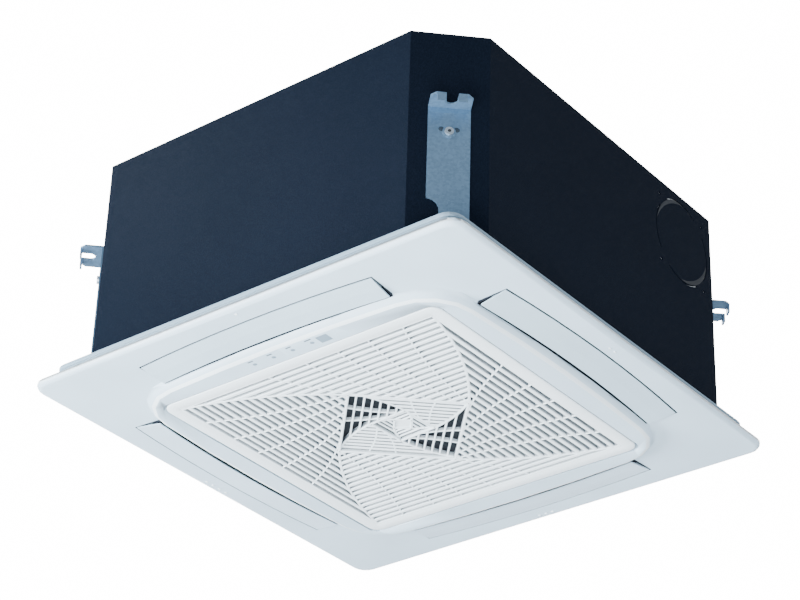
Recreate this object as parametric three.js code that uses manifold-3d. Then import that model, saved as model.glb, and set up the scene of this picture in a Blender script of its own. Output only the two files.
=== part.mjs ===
// Compact four-way ceiling cassette air conditioner.
// Millimetres, +Z up. The origin is the centre of the ceiling opening at the ceiling line:
// the panel hangs below it and the casing stands above it.
// -Y is the side with the indicator lamps, and the pipes leave at -X.
import * as THREE from 'three';
import { mergeVertices } from 'three/addons/utils/BufferGeometryUtils.js';
import Module from 'manifold-3d';

const wasm = await Module();
wasm.setup();

// ---------------------------------------------------------------- clearances
const seatGap = 0.3;        // between pieces that rest on or against each other
const edgeGap = 2;          // between a moving cover and the edge round it
const past = 5;             // how far a cutting tool runs past the faces it cuts
const sink = 1;             // how far the forms of one piece run into each other
const pinSides = 12;        // facets of pins, screws and small holes

// ---------------------------------------------------------------- panel
const panelOverhang = 17.2; // flange edge outside the casing
const panelCorner = 19;
const panelEdge = 3.5;      // height of the flange's upright edge
const flangeRound = 5.5;    // rounding from that edge to the underside
const flangeRoundMid = 1.8; // how far in it is halfway down
const flangeDrop = 8;       // flange underside below the ceiling line
const plateauDrop = 11;     // raised middle below the flange underside
const shellWall = 2.2;
const plateauInset = 87;    // flat of the raised middle, from the flange edge
const plateauCorner = 58;
const plateauBow = 6;
const plateauRoll = 11.5;   // width of the rounded step round the raised middle
// The rounded step: shares of its width and its drop, and how much wider its corners are there.
const rollShape = [[0, 0, 9], [0.35, 0.45, 7], [0.62, 0.82, 4]];
const skirtInset = 17;      // skirt set back from the flange edge
const skirtWall = 2.5;
const skirtHeight = 17.7;
const collarBelowSkirt = 4; // top of the wall round the opening, below the skirt's top
const gasketHeight = 5;
const gasketWidth = 9.4;
const gasketNotch = 1.5;
const gasketSwell = 0.4;    // gasket's outer face outside the skirt

// ---------------------------------------------------------------- casing
const casingHalf = 292.8;
const chamferLeg = 63.5;
const casingHeight = 260.3;
const sheet = 1.5;
const casingLip = 8;
const linerWall = 14;
const panHeight = 45;
const ductCollar = 3;
const ductTuck = 2;         // duct's outer wall inside the raised middle's bow

// ---------------------------------------------------------------- duct knock-out
const knockRadius = 56;
const knockInset = 44;      // centre inside the coil's outer face, on the +X side
const knockBelowTop = 66.6;
const knockSlit = 1.6;
const knockArc = 66 * Math.PI / 180;
const knockSteps = 8;       // straight pieces in one slit
const knockScrewCircle = 66;
const knockScrewRadius = 2.2;

// ---------------------------------------------------------------- hanger brackets
const bracketWidth = 47;
const bracketSheet = 2.3;
const bracketFoot = 4.3;    // lower end above the casing's base
const lugBelowTop = 101;
const lugReach = 26;
const lugSlotWidth = 13.5;
const lugSlotDepth = 18.5;
const lugEyeRadius = 7.2;
const lugTipDrop = 11;
const lugTipWidth = 10;
const lugCornerCut = 6;
const bracketNotch = 14;
const bracketNotchRise = 34; // notch top above the lower end
const bracketScrewBelow = 34;
const screwRadius = 2.5;
const screwHeadRadius = 5;
const screwHeadHeight = 3;

// ---------------------------------------------------------------- louvres
const louvreHalfLength = 168.5;
const louvreOut = 13;       // inner edge at the ends, outside the raised middle's flat
const louvreWidth = 36;
const louvreBow = 8;
const louvreSlant = 3;      // the ends lean in by this much towards the inner edge
const louvreThick = 2.2;
const louvreOuterDrop = 8.5;
const louvreInnerDrop = 13;
const louvreAxisOut = 18;   // pivot line from the inner edge
const louvreAxisDrop = 2.5; // pivot line below the ceiling line
const louvrePin = 2;
const louvreArm = 2.5;
const louvreBoss = 3.4;     // radius of the boss round each pin
const louvreRoot = 1.6;     // depth of the arms' feet in the vane
const louvreCamber = 0.5;
const louvreEdgeThick = 0.7; // share of the thickness at the long edges
const louvreEdgeIn = 0.015; // upper edges set in by this share of the width
const throatInner = 4;      // throat wall from the louvre's inner edge
const throatWall = 2;
const throatBelowSkirt = 0.7;
const pinShort = 0.5;       // louvre pins inside the throat's outer faces
const stepperSeat = 0.2;    // the motors' faces likewise
const stepperRadius = 10;
const stepperLength = 14;
const stepperOffset = 8;

// ---------------------------------------------------------------- intake grille
const openingInset = 19.5;  // opening's edge inside the raised middle's flat
const openingCorner = 13;   // tight, so that the grille's rear corners swing clear
const grilleCorner = 16;
const rimWidth = 8;
const rimHeight = 14;
const borderThick = 3.5;
const borderWidth = 17;
const swirlScale = 0.381;   // each ring of the swirl is this much of the one round it
const swirlTurn = 43.3 * Math.PI / 180;
const swirlCurve = 28 * Math.PI / 180;
const swirlWall = 3.2;
const ribCurve = 20 * Math.PI / 180;
const ribWidth = 2.2;
const swirlSteps = 3;       // straight pieces in one curve of the swirl
const ribSteps = 2;
const slatRise = 0.5;       // outer slats above the border's face
const swirlLevels = [
  {
    recess: 0,
    depth: 7.3,
    bars: [[10.4, 5.5], [10.4, 5.5]],
    ribs: [[118, 0.96], [49, 0.7], [-30, 0.38]],
  },
  { recess: 2.5, depth: 6, bars: [[8, 4.3], [9.8, 2.4]], ribs: [] },
  { recess: 4.8, depth: 5, bars: [[6.2, 3.2], [6.2, 3.2]], ribs: [] },
  { recess: 6, depth: 4.2, bars: [], ribs: [] },
];
const hingeInset = 8;       // pivot line in front of the grille's rear edge
const hingeRise = 4.5;      // pivot line above the grille's face
const hingePinRadius = 2;
const hingePinLength = 16;
const hingePinInGrille = 8;
const filterThick = 3;
const filterFrame = 9;
const filterNet = 0.6;
const filterBays = 3;
const filterBar = 4;
const catchOut = 120;       // catches left and right of the middle
const catchWidth = 16;
const catchThick = 2.6;
const catchLength = 14.5;
const catchLipHeight = 2;

// ---------------------------------------------------------------- indicator lamps
const lampInset = 6.5;      // lamps inside the raised middle's flat, on its front
const lampPlaces = [-43, -15, 13, 41];
const lampRadius = 2.2;
const receiverAlong = 58;
const receiverWidth = 15;
const receiverDepth = 13;
const lampBoardThick = 1.6;
const lampBoardDepth = 15;
const guideThick = 1;
const guideEnd = 5;         // light guide past the end lamps

// ---------------------------------------------------------------- fan
const fanSwell = 47;        // fan's rim outside its inlet
const fanSides = 26;
const inletOverlap = 4;     // fan's inlet outside the bell mouth's throat
const fanSheet = 2;
const shroudRise = 31;      // height of the curved inlet ring
const fanAboveBase = 37;    // inlet edge above the casing's base
const bladeCount = 8;
const bladeInset = 10;      // blades' inner ends inside the fan's inlet
const bladeThick = 2.4;
const bladeLean = -34 * Math.PI / 180;
const bladeCurve = -44 * Math.PI / 180;
const hubRadius = 26;
const hubHeight = 30;
const hubEdge = 6;          // slope round the hub's face
const hubEdgeRise = 8;
const hubFoot = 30;         // from the hub's radius to the flat of the back plate
const hubEndWall = 10;
const hubBossWall = 8;      // round the shaft
const shaftRadius = 4;
const shaftBelowHub = 12;
const shaftNutRadius = 9;
const shaftNutHeight = 8;
const motorRadius = 62;
const motorHeight = 60;
const motorRound = 4;       // roundings of the motor's case
const motorBossRadius = 18;
const motorBoreDepth = 20;
const motorAboveFan = 16;
const damperRadius = 48;
const damperWidth = 12;
const damperHeight = 15.55;
const mountPlateRadius = 88;
const mountPlateThick = 2;
const bellSwell = 46;       // mouth of the bell outside its throat
const bellRise = 0.72;      // share of the bell's height that its curve takes
const bellFlangeInset = 3.5; // flange's edge inside the panel's opening
const bellFlangeThick = 2.9;
const bellWall = 2;
const bellOverlap = 6;      // the bell mouth reaches this far into the fan's inlet

// ---------------------------------------------------------------- coil and pipes
const plenumWidth = 70;     // between the liner and the coil
const coilThick = 35;
const coilCorner = 62;
const coilOpenCorner = 89;  // how far the coil stops short on each side of the open corner
const coilPlateThick = 1.8;
const coilPlateEdge = 2;    // end plates past the coil's faces
const gasPipeRadius = 6.35;
const liquidPipeRadius = 3.2;
const pipeReach = 45;       // pipe ends outside the casing
const gasPipePlace = { inset: 42, above: 100 };     // from the coil's outer face and the pan's base
const liquidPipePlace = { inset: 61, above: 140 };
const pipeTurn = 18;
const gasNutAcross = 26;
const liquidNutAcross = 17;
const nutLength = 16;
const pipePlateThick = 1.8;
const pipePlateHalf = 42;
const pipeWindowHalf = 34;

// ---------------------------------------------------------------- condensate
const sumpOut = [15, 15];   // places in the open corner, outside the coil's outer faces
const pumpOut = [25, 5];
const floatOut = [1, 30];
const footOut = [-21, 47];
const sumpRadius = 36;
const sumpFloor = 14;
const pumpRadius = 20;
const pumpVolute = 23;
const pumpVoluteHeight = 18;
const pumpMotorHeight = 52;
const pumpNozzle = 7;
const pumpAbovePan = 10;
const pumpLift = 4;         // nozzle above the sump's floor
const pumpSheet = 2;
const pumpArmWidth = 12;
const pumpTabHeight = 24;
const pumpOutletRise = 8;
const floatRadius = 10;
const floatHeight = 14;
const floatTravel = 10;
const floatStem = 3;
const floatRunGap = 0.5;
const floatAboveSump = 6;
const floatStopHeight = 4;
const floatStemSpare = 16;  // stem above the float's highest place
const floatArmThick = 3;
const floatArmWidth = 8;
const floatFootHalf = 7;
const floatPostHalf = 3;
const portInset = 7;        // drain port inside the coil's outer face
const portBelowTop = 63.5;
const portInside = 22;
const portRadius = 13;
const portWall = 3;
const portReach = 24;
const portFlange = 20;
const hoseRadius = 8;
const hoseStraight = 20;    // run off the pump's outlet and up to the drain port
const hoseDip = 12;
const pumpOutletBack = 30;   // outlet from the pump's axis
const pumpOutletRadius = 6;

// ---------------------------------------------------------------- electrics
const boxTabGap = 13;       // box ends inside the panel's screw tabs
const boxEdgeGap = 11.5;    // box inside the panel's opening
const boxWidth = 44;
const boxHeight = 21;
const boxSheet = 1.2;
const boardOver = 30;       // board longer than half the box
const boardThick = 1.6;
const boardMargin = 4;      // board's edges from the box's sides
const boardPostInset = 8;
const terminalMargin = 10;
const boardPost = 3;
const boardPostHeight = 4.5;
const terminalLength = 60;
const terminalHeight = 15;
const glandInset = 57;      // cable gland inside the coil's outer face
const glandAbove = 110;
const glandRadius = 8;
const glandHexAcross = 25;
const glandHexLength = 7;
const glandReach = 15;
const glandBore = 4.5;

// ---------------------------------------------------------------- panel screws
const tabHalf = 11;
const tabInset = 9.5;       // screw inside the panel's opening
const tabThick = 2.5;
const tabBelowTop = 1.2;
const panelScrewReach = 10; // thread in the drain pan

// ---------------------------------------------------------------- heights that follow
const flangeUnder = -flangeDrop;
const plateauUnder = flangeUnder - plateauDrop;
const plateauTop = plateauUnder + shellWall + seatGap;
const panelHalf = casingHalf + panelOverhang;
const plateauHalf = panelHalf - plateauInset;
const openingHalf = plateauHalf - openingInset;
const louvreInner = plateauHalf + louvreOut;
const tabPlace = openingHalf - tabInset;
const lampRow = plateauHalf - lampInset;
const skirtHalf = panelHalf - skirtInset;
const skirtCorner = panelCorner - 1;
const gasketBase = skirtHeight + seatGap;
const casingBase = gasketBase + gasketHeight + seatGap;
const casingTop = casingBase + casingHeight;
const casingInside = casingHalf - sheet - seatGap;
const panBase = casingBase + sheet + seatGap;
const panTop = panBase + panHeight;
const topPlateUnder = casingTop - sheet - sheet / 2 - 2 * seatGap;
const linerTop = topPlateUnder - seatGap;
const linerCeiling = linerTop - linerWall;
const linerInside = casingInside - linerWall;
const coilBase = panTop + seatGap;
const coilTop = linerCeiling - seatGap;
const coilOuter = linerInside - plenumWidth;
const coilEnd = coilOuter - coilOpenCorner;
const gasPipe = { along: coilOuter - gasPipePlace.inset, above: gasPipePlace.above };
const liquidPipe = { along: coilOuter - liquidPipePlace.inset, above: liquidPipePlace.above };
const cornerPlace = ([out, along]) => [-coilOuter - out, coilOuter + along];
const sumpPlace = cornerPlace(sumpOut);
const pumpPlace = cornerPlace(pumpOut);
const floatPlace = cornerPlace(floatOut);
const footPlace = cornerPlace(footOut);
const chamferOut = (2 * casingHalf - chamferLeg) / Math.SQRT2;
const lugHeight = casingTop - lugBelowTop;
const throatIn = louvreInner - throatInner;
const throatOut = louvreInner + louvreWidth + edgeGap;
const throatHalfLength = louvreHalfLength + edgeGap;
const pivotOut = louvreInner + louvreAxisOut;
const pivotHeight = -louvreAxisDrop;
const grilleHalf = openingHalf - edgeGap;
const slatHalf = grilleHalf - borderWidth;
const grilleFace = plateauUnder;
const rimTop = grilleFace + rimHeight;
const borderTop = grilleFace + borderThick;
const hingeBack = grilleHalf - hingeInset;
const hingeHeight = grilleFace + hingeRise;
const mountPlateUnder = topPlateUnder - seatGap - mountPlateThick;
const motorTop = mountPlateUnder - 2 * seatGap - damperHeight;
const motorBase = motorTop - motorHeight;
const fanBase = casingBase + fanAboveBase;
const fanTop = motorBase - motorAboveFan;
const shaftBase = fanTop - hubHeight - shaftBelowHub;
const shaftTop = motorBase + motorBoreDepth - seatGap;
const bellFlangeUnder = panBase - seatGap - bellFlangeThick;
const boxTop = bellFlangeUnder - seatGap;
const boxFar = openingHalf - boxEdgeGap;
const boxNear = boxFar - boxWidth;
const boxHalfLength = tabPlace - tabHalf - boxTabGap;
const boardLength = boxHalfLength + boardOver;
const bellMouthRadius = boxNear + bellWall;
const bellFlangeRadius = openingHalf - bellFlangeInset;
const throatRadius = bellMouthRadius - bellSwell;
const fanInlet = throatRadius + inletOverlap;
const fanRadius = fanInlet + fanSwell;
const bladeInner = fanInlet - bladeInset;

// ================================================================ shape helpers
const pair = (x, y) => new THREE.Vector2(x, y);

function outward(geometry) {
  const p = geometry.getAttribute('position');
  const index = geometry.getIndex();
  const a = new THREE.Vector3();
  const b = new THREE.Vector3();
  const c = new THREE.Vector3();
  let volume = 0;
  for (let i = 0; i < index.count; i += 3) {
    a.fromBufferAttribute(p, index.getX(i));
    b.fromBufferAttribute(p, index.getX(i + 1));
    c.fromBufferAttribute(p, index.getX(i + 2));
    volume += a.dot(b.cross(c));
  }
  if (volume < 0) {
    const turned = Array.from(index.array);
    for (let i = 0; i < turned.length; i += 3) {
      [turned[i], turned[i + 1]] = [turned[i + 1], turned[i]];
    }
    geometry.setIndex(turned);
  }
  return geometry;
}

function solidOf(source) {
  const geometry = source.clone();
  geometry.deleteAttribute('normal');
  geometry.deleteAttribute('uv');
  const merged = outward(mergeVertices(geometry, 1e-4));
  const index = merged.getIndex().array;
  const kept = [];
  for (let i = 0; i < index.length; i += 3) {
    const [a, b, c] = [index[i], index[i + 1], index[i + 2]];
    if (a !== b && b !== c && c !== a) kept.push(a, b, c);
  }
  return new wasm.Manifold(new wasm.Mesh({
    numProp: 3,
    vertProperties: Float32Array.from(merged.getAttribute('position').array),
    triVerts: Uint32Array.from(kept),
  }));
}

function geometryOf(solid) {
  const mesh = solid.getMesh();
  const geometry = new THREE.BufferGeometry();
  const count = mesh.vertProperties.length / mesh.numProp;
  const position = new Float32Array(count * 3);
  for (let i = 0; i < count; i += 1) {
    for (let k = 0; k < 3; k += 1) position[i * 3 + k] = mesh.vertProperties[i * mesh.numProp + k];
  }
  geometry.setAttribute('position', new THREE.BufferAttribute(position, 3));
  geometry.setIndex(Array.from(mesh.triVerts));
  return geometry;
}

const join = (...solids) => solids.flat().reduce((whole, one) => whole.add(one));
const cut = (body, ...tools) => tools.flat().reduce((whole, one) => whole.subtract(one), body);

// A solid turned about Z by the given angle.
function turned(solid, angle) {
  const geometry = geometryOf(solid);
  geometry.rotateZ(angle);
  return solidOf(geometry);
}
const quarter = Math.PI / 2;
const fourTimes = (solid) => [0, 1, 2, 3].map((k) => turned(solid, k * quarter));

function shapeOf(points) {
  return new THREE.Shape(points.map(([x, y]) => pair(x, y)));
}

function prism(outlines, low, high, holes = []) {
  const list = typeof outlines[0][0] === 'number' ? [outlines] : outlines;
  const shapes = list.map(shapeOf);
  for (const hole of holes) shapes[0].holes.push(shapeOf(hole));
  const geometry = new THREE.ExtrudeGeometry(shapes, { depth: high - low, bevelEnabled: false });
  geometry.translate(0, 0, low);
  return solidOf(geometry);
}

function box(x0, x1, y0, y1, z0, z1) {
  const geometry = new THREE.BoxGeometry(x1 - x0, y1 - y0, z1 - z0);
  geometry.translate((x0 + x1) / 2, (y0 + y1) / 2, (z0 + z1) / 2);
  return solidOf(geometry);
}

function rod(radius, from, to, sides = 16) {
  const start = new THREE.Vector3(...from);
  const end = new THREE.Vector3(...to);
  const along = end.clone().sub(start);
  const geometry = new THREE.CylinderGeometry(radius, radius, along.length(), sides);
  const turn = new THREE.Quaternion().setFromUnitVectors(new THREE.Vector3(0, 1, 0), along.normalize());
  geometry.applyQuaternion(turn);
  geometry.translate(...start.add(end).multiplyScalar(0.5).toArray());
  return solidOf(geometry);
}

// A round body about Z from points [radius, height]; off the axis, it closes on itself.
function lathe(profile, sides) {
  const points = profile.map(([r, z]) => pair(r, z));
  const onAxis = profile[0][0] === 0 && profile[profile.length - 1][0] === 0;
  if (!onAxis) points.push(points[0].clone());
  const geometry = new THREE.LatheGeometry(points, sides);
  geometry.rotateX(quarter);
  return solidOf(geometry);
}

function tube(radius, path, sides, steps) {
  const section = [];
  for (let i = 0; i < sides; i += 1) {
    const angle = (i / sides) * 2 * Math.PI;
    section.push([radius * Math.cos(angle), radius * Math.sin(angle)]);
  }
  return solidOf(new THREE.ExtrudeGeometry(shapeOf(section), {
    steps,
    extrudePath: path,
    bevelEnabled: false,
  }));
}

// A path of straight runs with rounded turns.
function bentPath(corners, turn) {
  const path = new THREE.CurvePath();
  const points = corners.map((corner) => new THREE.Vector3(...corner));
  let start = points[0];
  for (let i = 1; i < points.length - 1; i += 1) {
    const into = points[i].clone().sub(start).normalize();
    const out = points[i + 1].clone().sub(points[i]).normalize();
    const before = points[i].clone().addScaledVector(into, -turn);
    const after = points[i].clone().addScaledVector(out, turn);
    path.add(new THREE.LineCurve3(start, before));
    path.add(new THREE.QuadraticBezierCurve3(before, points[i], after));
    start = after;
  }
  path.add(new THREE.LineCurve3(start, points[points.length - 1]));
  return path;
}

function octagon(half, leg) {
  const c = half - leg;
  return [[c, -half], [half, -c], [half, c], [c, half], [-c, half], [-half, c], [-half, -c], [-c, -half]];
}

// The casing's outline drawn in on all eight sides by the same distance.
function casingOutline(inset) {
  return octagon(casingHalf - inset, chamferLeg - inset * (2 - Math.SQRT2));
}

// A square with round corners and, if asked, sides that bow outward.
function roundSquare(half, radius, bow = 0, cornerSteps = 4, sideSteps = 4) {
  const points = [];
  const straight = half - radius;
  for (let side = 0; side < 4; side += 1) {
    const angle = side * quarter;
    const [c, s] = [Math.round(Math.cos(angle)), Math.round(Math.sin(angle))];
    const local = [];
    for (let i = 0; i < sideSteps; i += 1) {
      const t = -1 + (2 * i) / sideSteps;
      local.push([t * straight, -half - bow * (1 - t * t)]);
    }
    for (let i = 0; i < cornerSteps; i += 1) {
      const turn = (i / cornerSteps) * quarter;
      local.push([straight + radius * Math.sin(turn), -straight - radius * Math.cos(turn)]);
    }
    for (const [x, y] of local) points.push([x * c - y * s, x * s + y * c]);
  }
  return points;
}

// A body swept through closed rings; the last ring joins the first unless the ends are capped.
function loft(rings, capped) {
  const count = rings[0].length;
  const position = rings.flat(2);
  const index = [];
  const spans = capped ? rings.length - 1 : rings.length;
  for (let r = 0; r < spans; r += 1) {
    const next = (r + 1) % rings.length;
    for (let i = 0; i < count; i += 1) {
      const j = (i + 1) % count;
      index.push(r * count + i, r * count + j, next * count + j);
      index.push(r * count + i, next * count + j, next * count + i);
    }
  }
  if (capped) {
    const last = (rings.length - 1) * count;
    for (let i = 1; i < count - 1; i += 1) {
      index.push(0, i + 1, i);
      index.push(last, last + i, last + i + 1);
    }
  }
  const geometry = new THREE.BufferGeometry();
  geometry.setAttribute('position', new THREE.Float32BufferAttribute(position, 3));
  geometry.setAttribute('normal', new THREE.Float32BufferAttribute(position, 3));
  geometry.setAttribute('uv', new THREE.Float32BufferAttribute(position.map(() => 0), 3));
  geometry.setIndex(index);
  return solidOf(geometry);
}

const ringAt = (points, z) => points.map(([x, y]) => [x, y, z]);
const rectangle = (x0, x1, y0, y1) => [[x0, y0], [x1, y0], [x1, y1], [x0, y1]];

// Points of a circular arc from p to q that turns by the given angle on the way.
function arc(p, q, turn, steps) {
  const chord = Math.hypot(q[0] - p[0], q[1] - p[1]);
  const radius = chord / (2 * Math.sin(turn / 2));
  const heading = Math.atan2(q[1] - p[1], q[0] - p[0]) - turn / 2;
  const centre = [p[0] - radius * Math.sin(heading), p[1] + radius * Math.cos(heading)];
  const points = [];
  for (let i = 0; i <= steps; i += 1) {
    const angle = heading + (turn * i) / steps;
    points.push([centre[0] + radius * Math.sin(angle), centre[1] - radius * Math.cos(angle)]);
  }
  points[steps] = q;
  return points;
}

// The outline of a strip of even width along a line of points.
function strip(points, width) {
  const left = [];
  const right = [];
  for (let i = 0; i < points.length; i += 1) {
    const before = points[Math.max(i - 1, 0)];
    const after = points[Math.min(i + 1, points.length - 1)];
    const length = Math.hypot(after[0] - before[0], after[1] - before[1]);
    const nx = (-(after[1] - before[1]) / length) * (width / 2);
    const ny = ((after[0] - before[0]) / length) * (width / 2);
    left.push([points[i][0] + nx, points[i][1] + ny]);
    right.unshift([points[i][0] - nx, points[i][1] - ny]);
  }
  return [...left, ...right];
}

// ================================================================ finishes
const finish = (color, roughness, metalness = 0) => () => (
  new THREE.MeshStandardMaterial({ color, roughness, metalness })
);
const casingBlack = finish(0x18222e, 0.75, 0.2);
const zinc = finish(0x8fa3b3, 0.45, 0.8);
const panelWhite = finish(0xe6ecef, 0.4);
const slatWhite = finish(0xf4f6f7, 0.42);
const foamWhite = finish(0xdfe2e2, 0.9);
const foamBlack = finish(0x24282c, 0.95);
const darkPlastic = finish(0x2b2f33, 0.6);
const netGrey = finish(0x5a6268, 0.8);
const motorGrey = finish(0x9aa0a4, 0.4, 0.7);
const finMetal = finish(0xc3c8cb, 0.35, 0.9);
const copper = finish(0xb8714a, 0.3, 0.9);
const brass = finish(0xc2a052, 0.3, 0.9);
const boardGreen = finish(0x2f6b45, 0.5);
const lensGrey = finish(0xa9b6be, 0.2);
const rubberBlack = finish(0x1c1c1e, 0.9);

const unit = new THREE.Group();

function piece(name, solid, material, place = [0, 0]) {
  const mesh = new THREE.Mesh(geometryOf(solid), material());
  mesh.name = name;
  mesh.position.set(place[0], place[1], 0);
  unit.add(mesh);
}

// ================================================================ casing
const knockHeight = casingTop - knockBelowTop;
const knockAlong = coilOuter - knockInset;
const pipeWindow = [
  (gasPipe.along + liquidPipe.along) / 2,
  panBase + (gasPipe.above + liquidPipe.above) / 2,
];

// Tools that run along an axis, through the wall on that side.
const throughX = (radius, side, y, z, sides = 16) => rod(
  radius, [side * (linerInside - past), y, z], [side * (casingHalf + past), y, z], sides);

function knockOutSlits() {
  const tools = [];
  const ring = [];
  for (let k = 0; k < 4; k += 1) {
    const middle = k * quarter;
    const centreLine = [];
    for (let i = 0; i <= knockSteps; i += 1) {
      const angle = middle - knockArc / 2 + (knockArc * i) / knockSteps;
      centreLine.push([knockRadius * Math.cos(angle), knockRadius * Math.sin(angle)]);
    }
    ring.push(strip(centreLine, knockSlit));
    const corner = middle + quarter / 2;
    const y = knockAlong + knockScrewCircle * Math.cos(corner);
    const z = knockHeight + knockScrewCircle * Math.sin(corner);
    tools.push(rod(knockScrewRadius, [casingHalf - sheet - seatGap, y, z], [casingHalf + past, y, z], 8));
  }
  const geometry = geometryOf(prism(ring, -past, past));
  geometry.rotateX(quarter);
  geometry.rotateZ(quarter);
  geometry.translate(casingHalf, knockAlong, knockHeight);
  tools.push(solidOf(geometry));
  return tools;
}

const chamferCorners = [
  { name: 'near', angle: -quarter / 2 },
  { name: 'right', angle: quarter / 2 },
  { name: 'far', angle: 3 * quarter / 2 },
  { name: 'left', angle: -3 * quarter / 2 },
];
const outAt = (angle, distance, height) => [distance * Math.cos(angle), distance * Math.sin(angle), height];
const bracketScrewHeight = lugHeight - bracketScrewBelow;
const portAlong = coilOuter - portInset;
const portHeight = casingTop - portBelowTop;
const glandAlong = glandInset - coilOuter;
const glandHeight = panBase + glandAbove;

// Tools for what passes through the casing and its liner: the pipes, the drain port and the cable gland.
function windowTool(from, to) {
  const [y, z] = pipeWindow;
  return box(from, to, y - pipeWindowHalf, y + pipeWindowHalf, z - pipeWindowHalf, z + pipeWindowHalf);
}
const portTool = () => throughX(portRadius + seatGap, -1, portAlong, portHeight);
const glandTool = () => rod(
  glandRadius + seatGap,
  [glandAlong, linerInside - past, glandHeight],
  [glandAlong, casingHalf + past, glandHeight],
);

function casingShell() {
  const wall = prism(casingOutline(0), casingBase, casingTop, [casingOutline(sheet).reverse()]);
  const lipHole = casingOutline(casingLip).reverse();
  const lip = prism(casingOutline(0), casingBase, casingBase + sheet, [lipHole]);
  const window = windowTool(-casingHalf - past, -casingHalf + past);
  const screws = chamferCorners.map(({ angle }) => rod(
    screwRadius + seatGap,
    outAt(angle, chamferOut - past, bracketScrewHeight),
    outAt(angle, chamferOut + past, bracketScrewHeight),
    pinSides,
  ));
  return cut(join(wall, lip), knockOutSlits(), window, screws, portTool(), glandTool());
}
piece('casing_shell', casingShell(), casingBlack);

piece('top_plate', prism(casingOutline(sheet + seatGap), topPlateUnder, topPlateUnder + sheet), casingBlack);

function insulationLiner() {
  const outline = casingOutline(sheet + seatGap);
  const inside = casingOutline(sheet + seatGap + linerWall);
  const wall = prism(outline, panTop + seatGap, linerTop, [inside.reverse()]);
  const ceiling = prism(outline, linerCeiling, linerTop);
  const window = windowTool(-casingHalf, -linerInside + past);
  const motorHole = rod(mountPlateRadius + edgeGap, [0, 0, linerCeiling - past], [0, 0, linerTop + past], 32);
  return cut(join(wall, ceiling), window, motorHole, portTool(), glandTool());
}
piece('insulation_liner', insulationLiner(), foamWhite);

// ================================================================ hanger brackets
// Drawn flat, standing out along +X from the chamfer, then turned to its corner.
function hangerBracket() {
  const face = chamferOut + seatGap;
  const back = face + bracketSheet;
  const side = bracketWidth / 2;
  const bottom = casingBase + bracketFoot;
  const notchTop = bottom + bracketNotchRise;
  const notch = [];
  for (let i = 0; i <= 5; i += 1) {
    const angle = (i / 5) * quarter;
    const drop = bracketNotch * (1 - Math.cos(angle));
    notch.push([-side + bracketNotch * Math.sin(angle), notchTop - drop]);
  }
  const outline = [
    [-side, lugHeight], [-side, notchTop], ...notch.slice(1), [-side + bracketNotch, bottom],
    [side, bottom], [side, lugHeight],
  ];
  const plate = geometryOf(prism(outline, face, back));
  plate.rotateX(quarter);
  plate.rotateZ(quarter);
  const outer = back + lugReach;
  const half = lugSlotWidth / 2;
  const eyeOut = outer - lugSlotDepth + lugEyeRadius;
  const lugOutline = [
    [face, -side], [outer - lugCornerCut, -side], [outer, -side + lugCornerCut], [outer, -half],
    [eyeOut, -half], [eyeOut, half], [outer, half], [outer, side - lugCornerCut],
    [outer - lugCornerCut, side], [face, side],
  ];
  const lug = prism(lugOutline, lugHeight - bracketSheet, lugHeight);
  const eye = rod(
    lugEyeRadius,
    [eyeOut, 0, lugHeight - bracketSheet - past],
    [eyeOut, 0, lugHeight + past],
    pinSides,
  );
  const tips = [-1, 1].map((sign) => {
    const low = Math.min(sign * half, sign * (half + lugTipWidth));
    return box(outer - bracketSheet, outer, low, low + lugTipWidth, lugHeight - lugTipDrop, lugHeight);
  });
  const hole = rod(
    screwRadius + seatGap,
    [face - past, 0, bracketScrewHeight],
    [back + past, 0, bracketScrewHeight],
    pinSides,
  );
  return cut(join(solidOf(plate), lug, tips), eye, hole);
}

function bracketScrew() {
  const face = chamferOut + seatGap + bracketSheet + seatGap;
  const at = (out) => [out, 0, bracketScrewHeight];
  const head = rod(screwHeadRadius, at(face), at(face + screwHeadHeight));
  const shank = rod(screwRadius, at(chamferOut - sheet), at(face + sink), pinSides);
  return join(head, shank);
}

for (const { name, angle } of chamferCorners) {
  piece(`hanger_bracket_${name}`, turned(hangerBracket(), angle), zinc);
  piece(`bracket_screw_${name}`, turned(bracketScrew(), angle), zinc);
}

// ================================================================ drain pan
// The strip under one air outlet, on the -Y side; the other three are quarter turns of it.
function outletOutline(grow) {
  const inner = throatIn - grow;
  const outer = throatOut + grow;
  const end = throatHalfLength + grow;
  const top = [];
  const bottom = [];
  const steps = 8;
  for (let i = 0; i <= steps; i += 1) {
    const t = -1 + (2 * i) / steps;
    const swell = 1 - t * t;
    top.push([t * end, -outer - louvreBow * swell]);
    bottom.unshift([t * (end - louvreSlant), -inner - plateauBow * swell]);
  }
  return [...top, ...bottom];
}

function ductOutline(grow) {
  const inner = throatIn - grow;
  const outer = throatOut + grow + plateauBow - ductTuck;
  const end = throatHalfLength + grow;
  return rectangle(-end, end, -outer, -inner);
}

const pumpHeight = panTop + pumpAbovePan;
const sumpBottom = panBase + sumpFloor;

function drainPan() {
  const block = prism(casingOutline(sheet + seatGap), panBase, panTop);
  const collars = fourTimes(prism(ductOutline(ductCollar), gasketBase, panBase + sink));
  const ducts = fourTimes(prism(ductOutline(0), gasketBase - past, panTop + past));
  const middle = rod(bellMouthRadius + bellWall, [0, 0, panBase - past], [0, 0, panTop + past], 40);
  const sump = rod(sumpRadius, [...sumpPlace, sumpBottom], [...sumpPlace, panTop + past], 24);
  const screwTop = panBase + panelScrewReach + seatGap;
  const screws = fourTimes(rod(
    screwRadius + seatGap,
    [tabPlace, tabPlace, panBase - past],
    [tabPlace, tabPlace, screwTop],
    pinSides,
  ));
  return cut(join(block, collars), ducts, middle, sump, screws);
}
piece('drain_pan', drainPan(), foamBlack);

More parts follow.
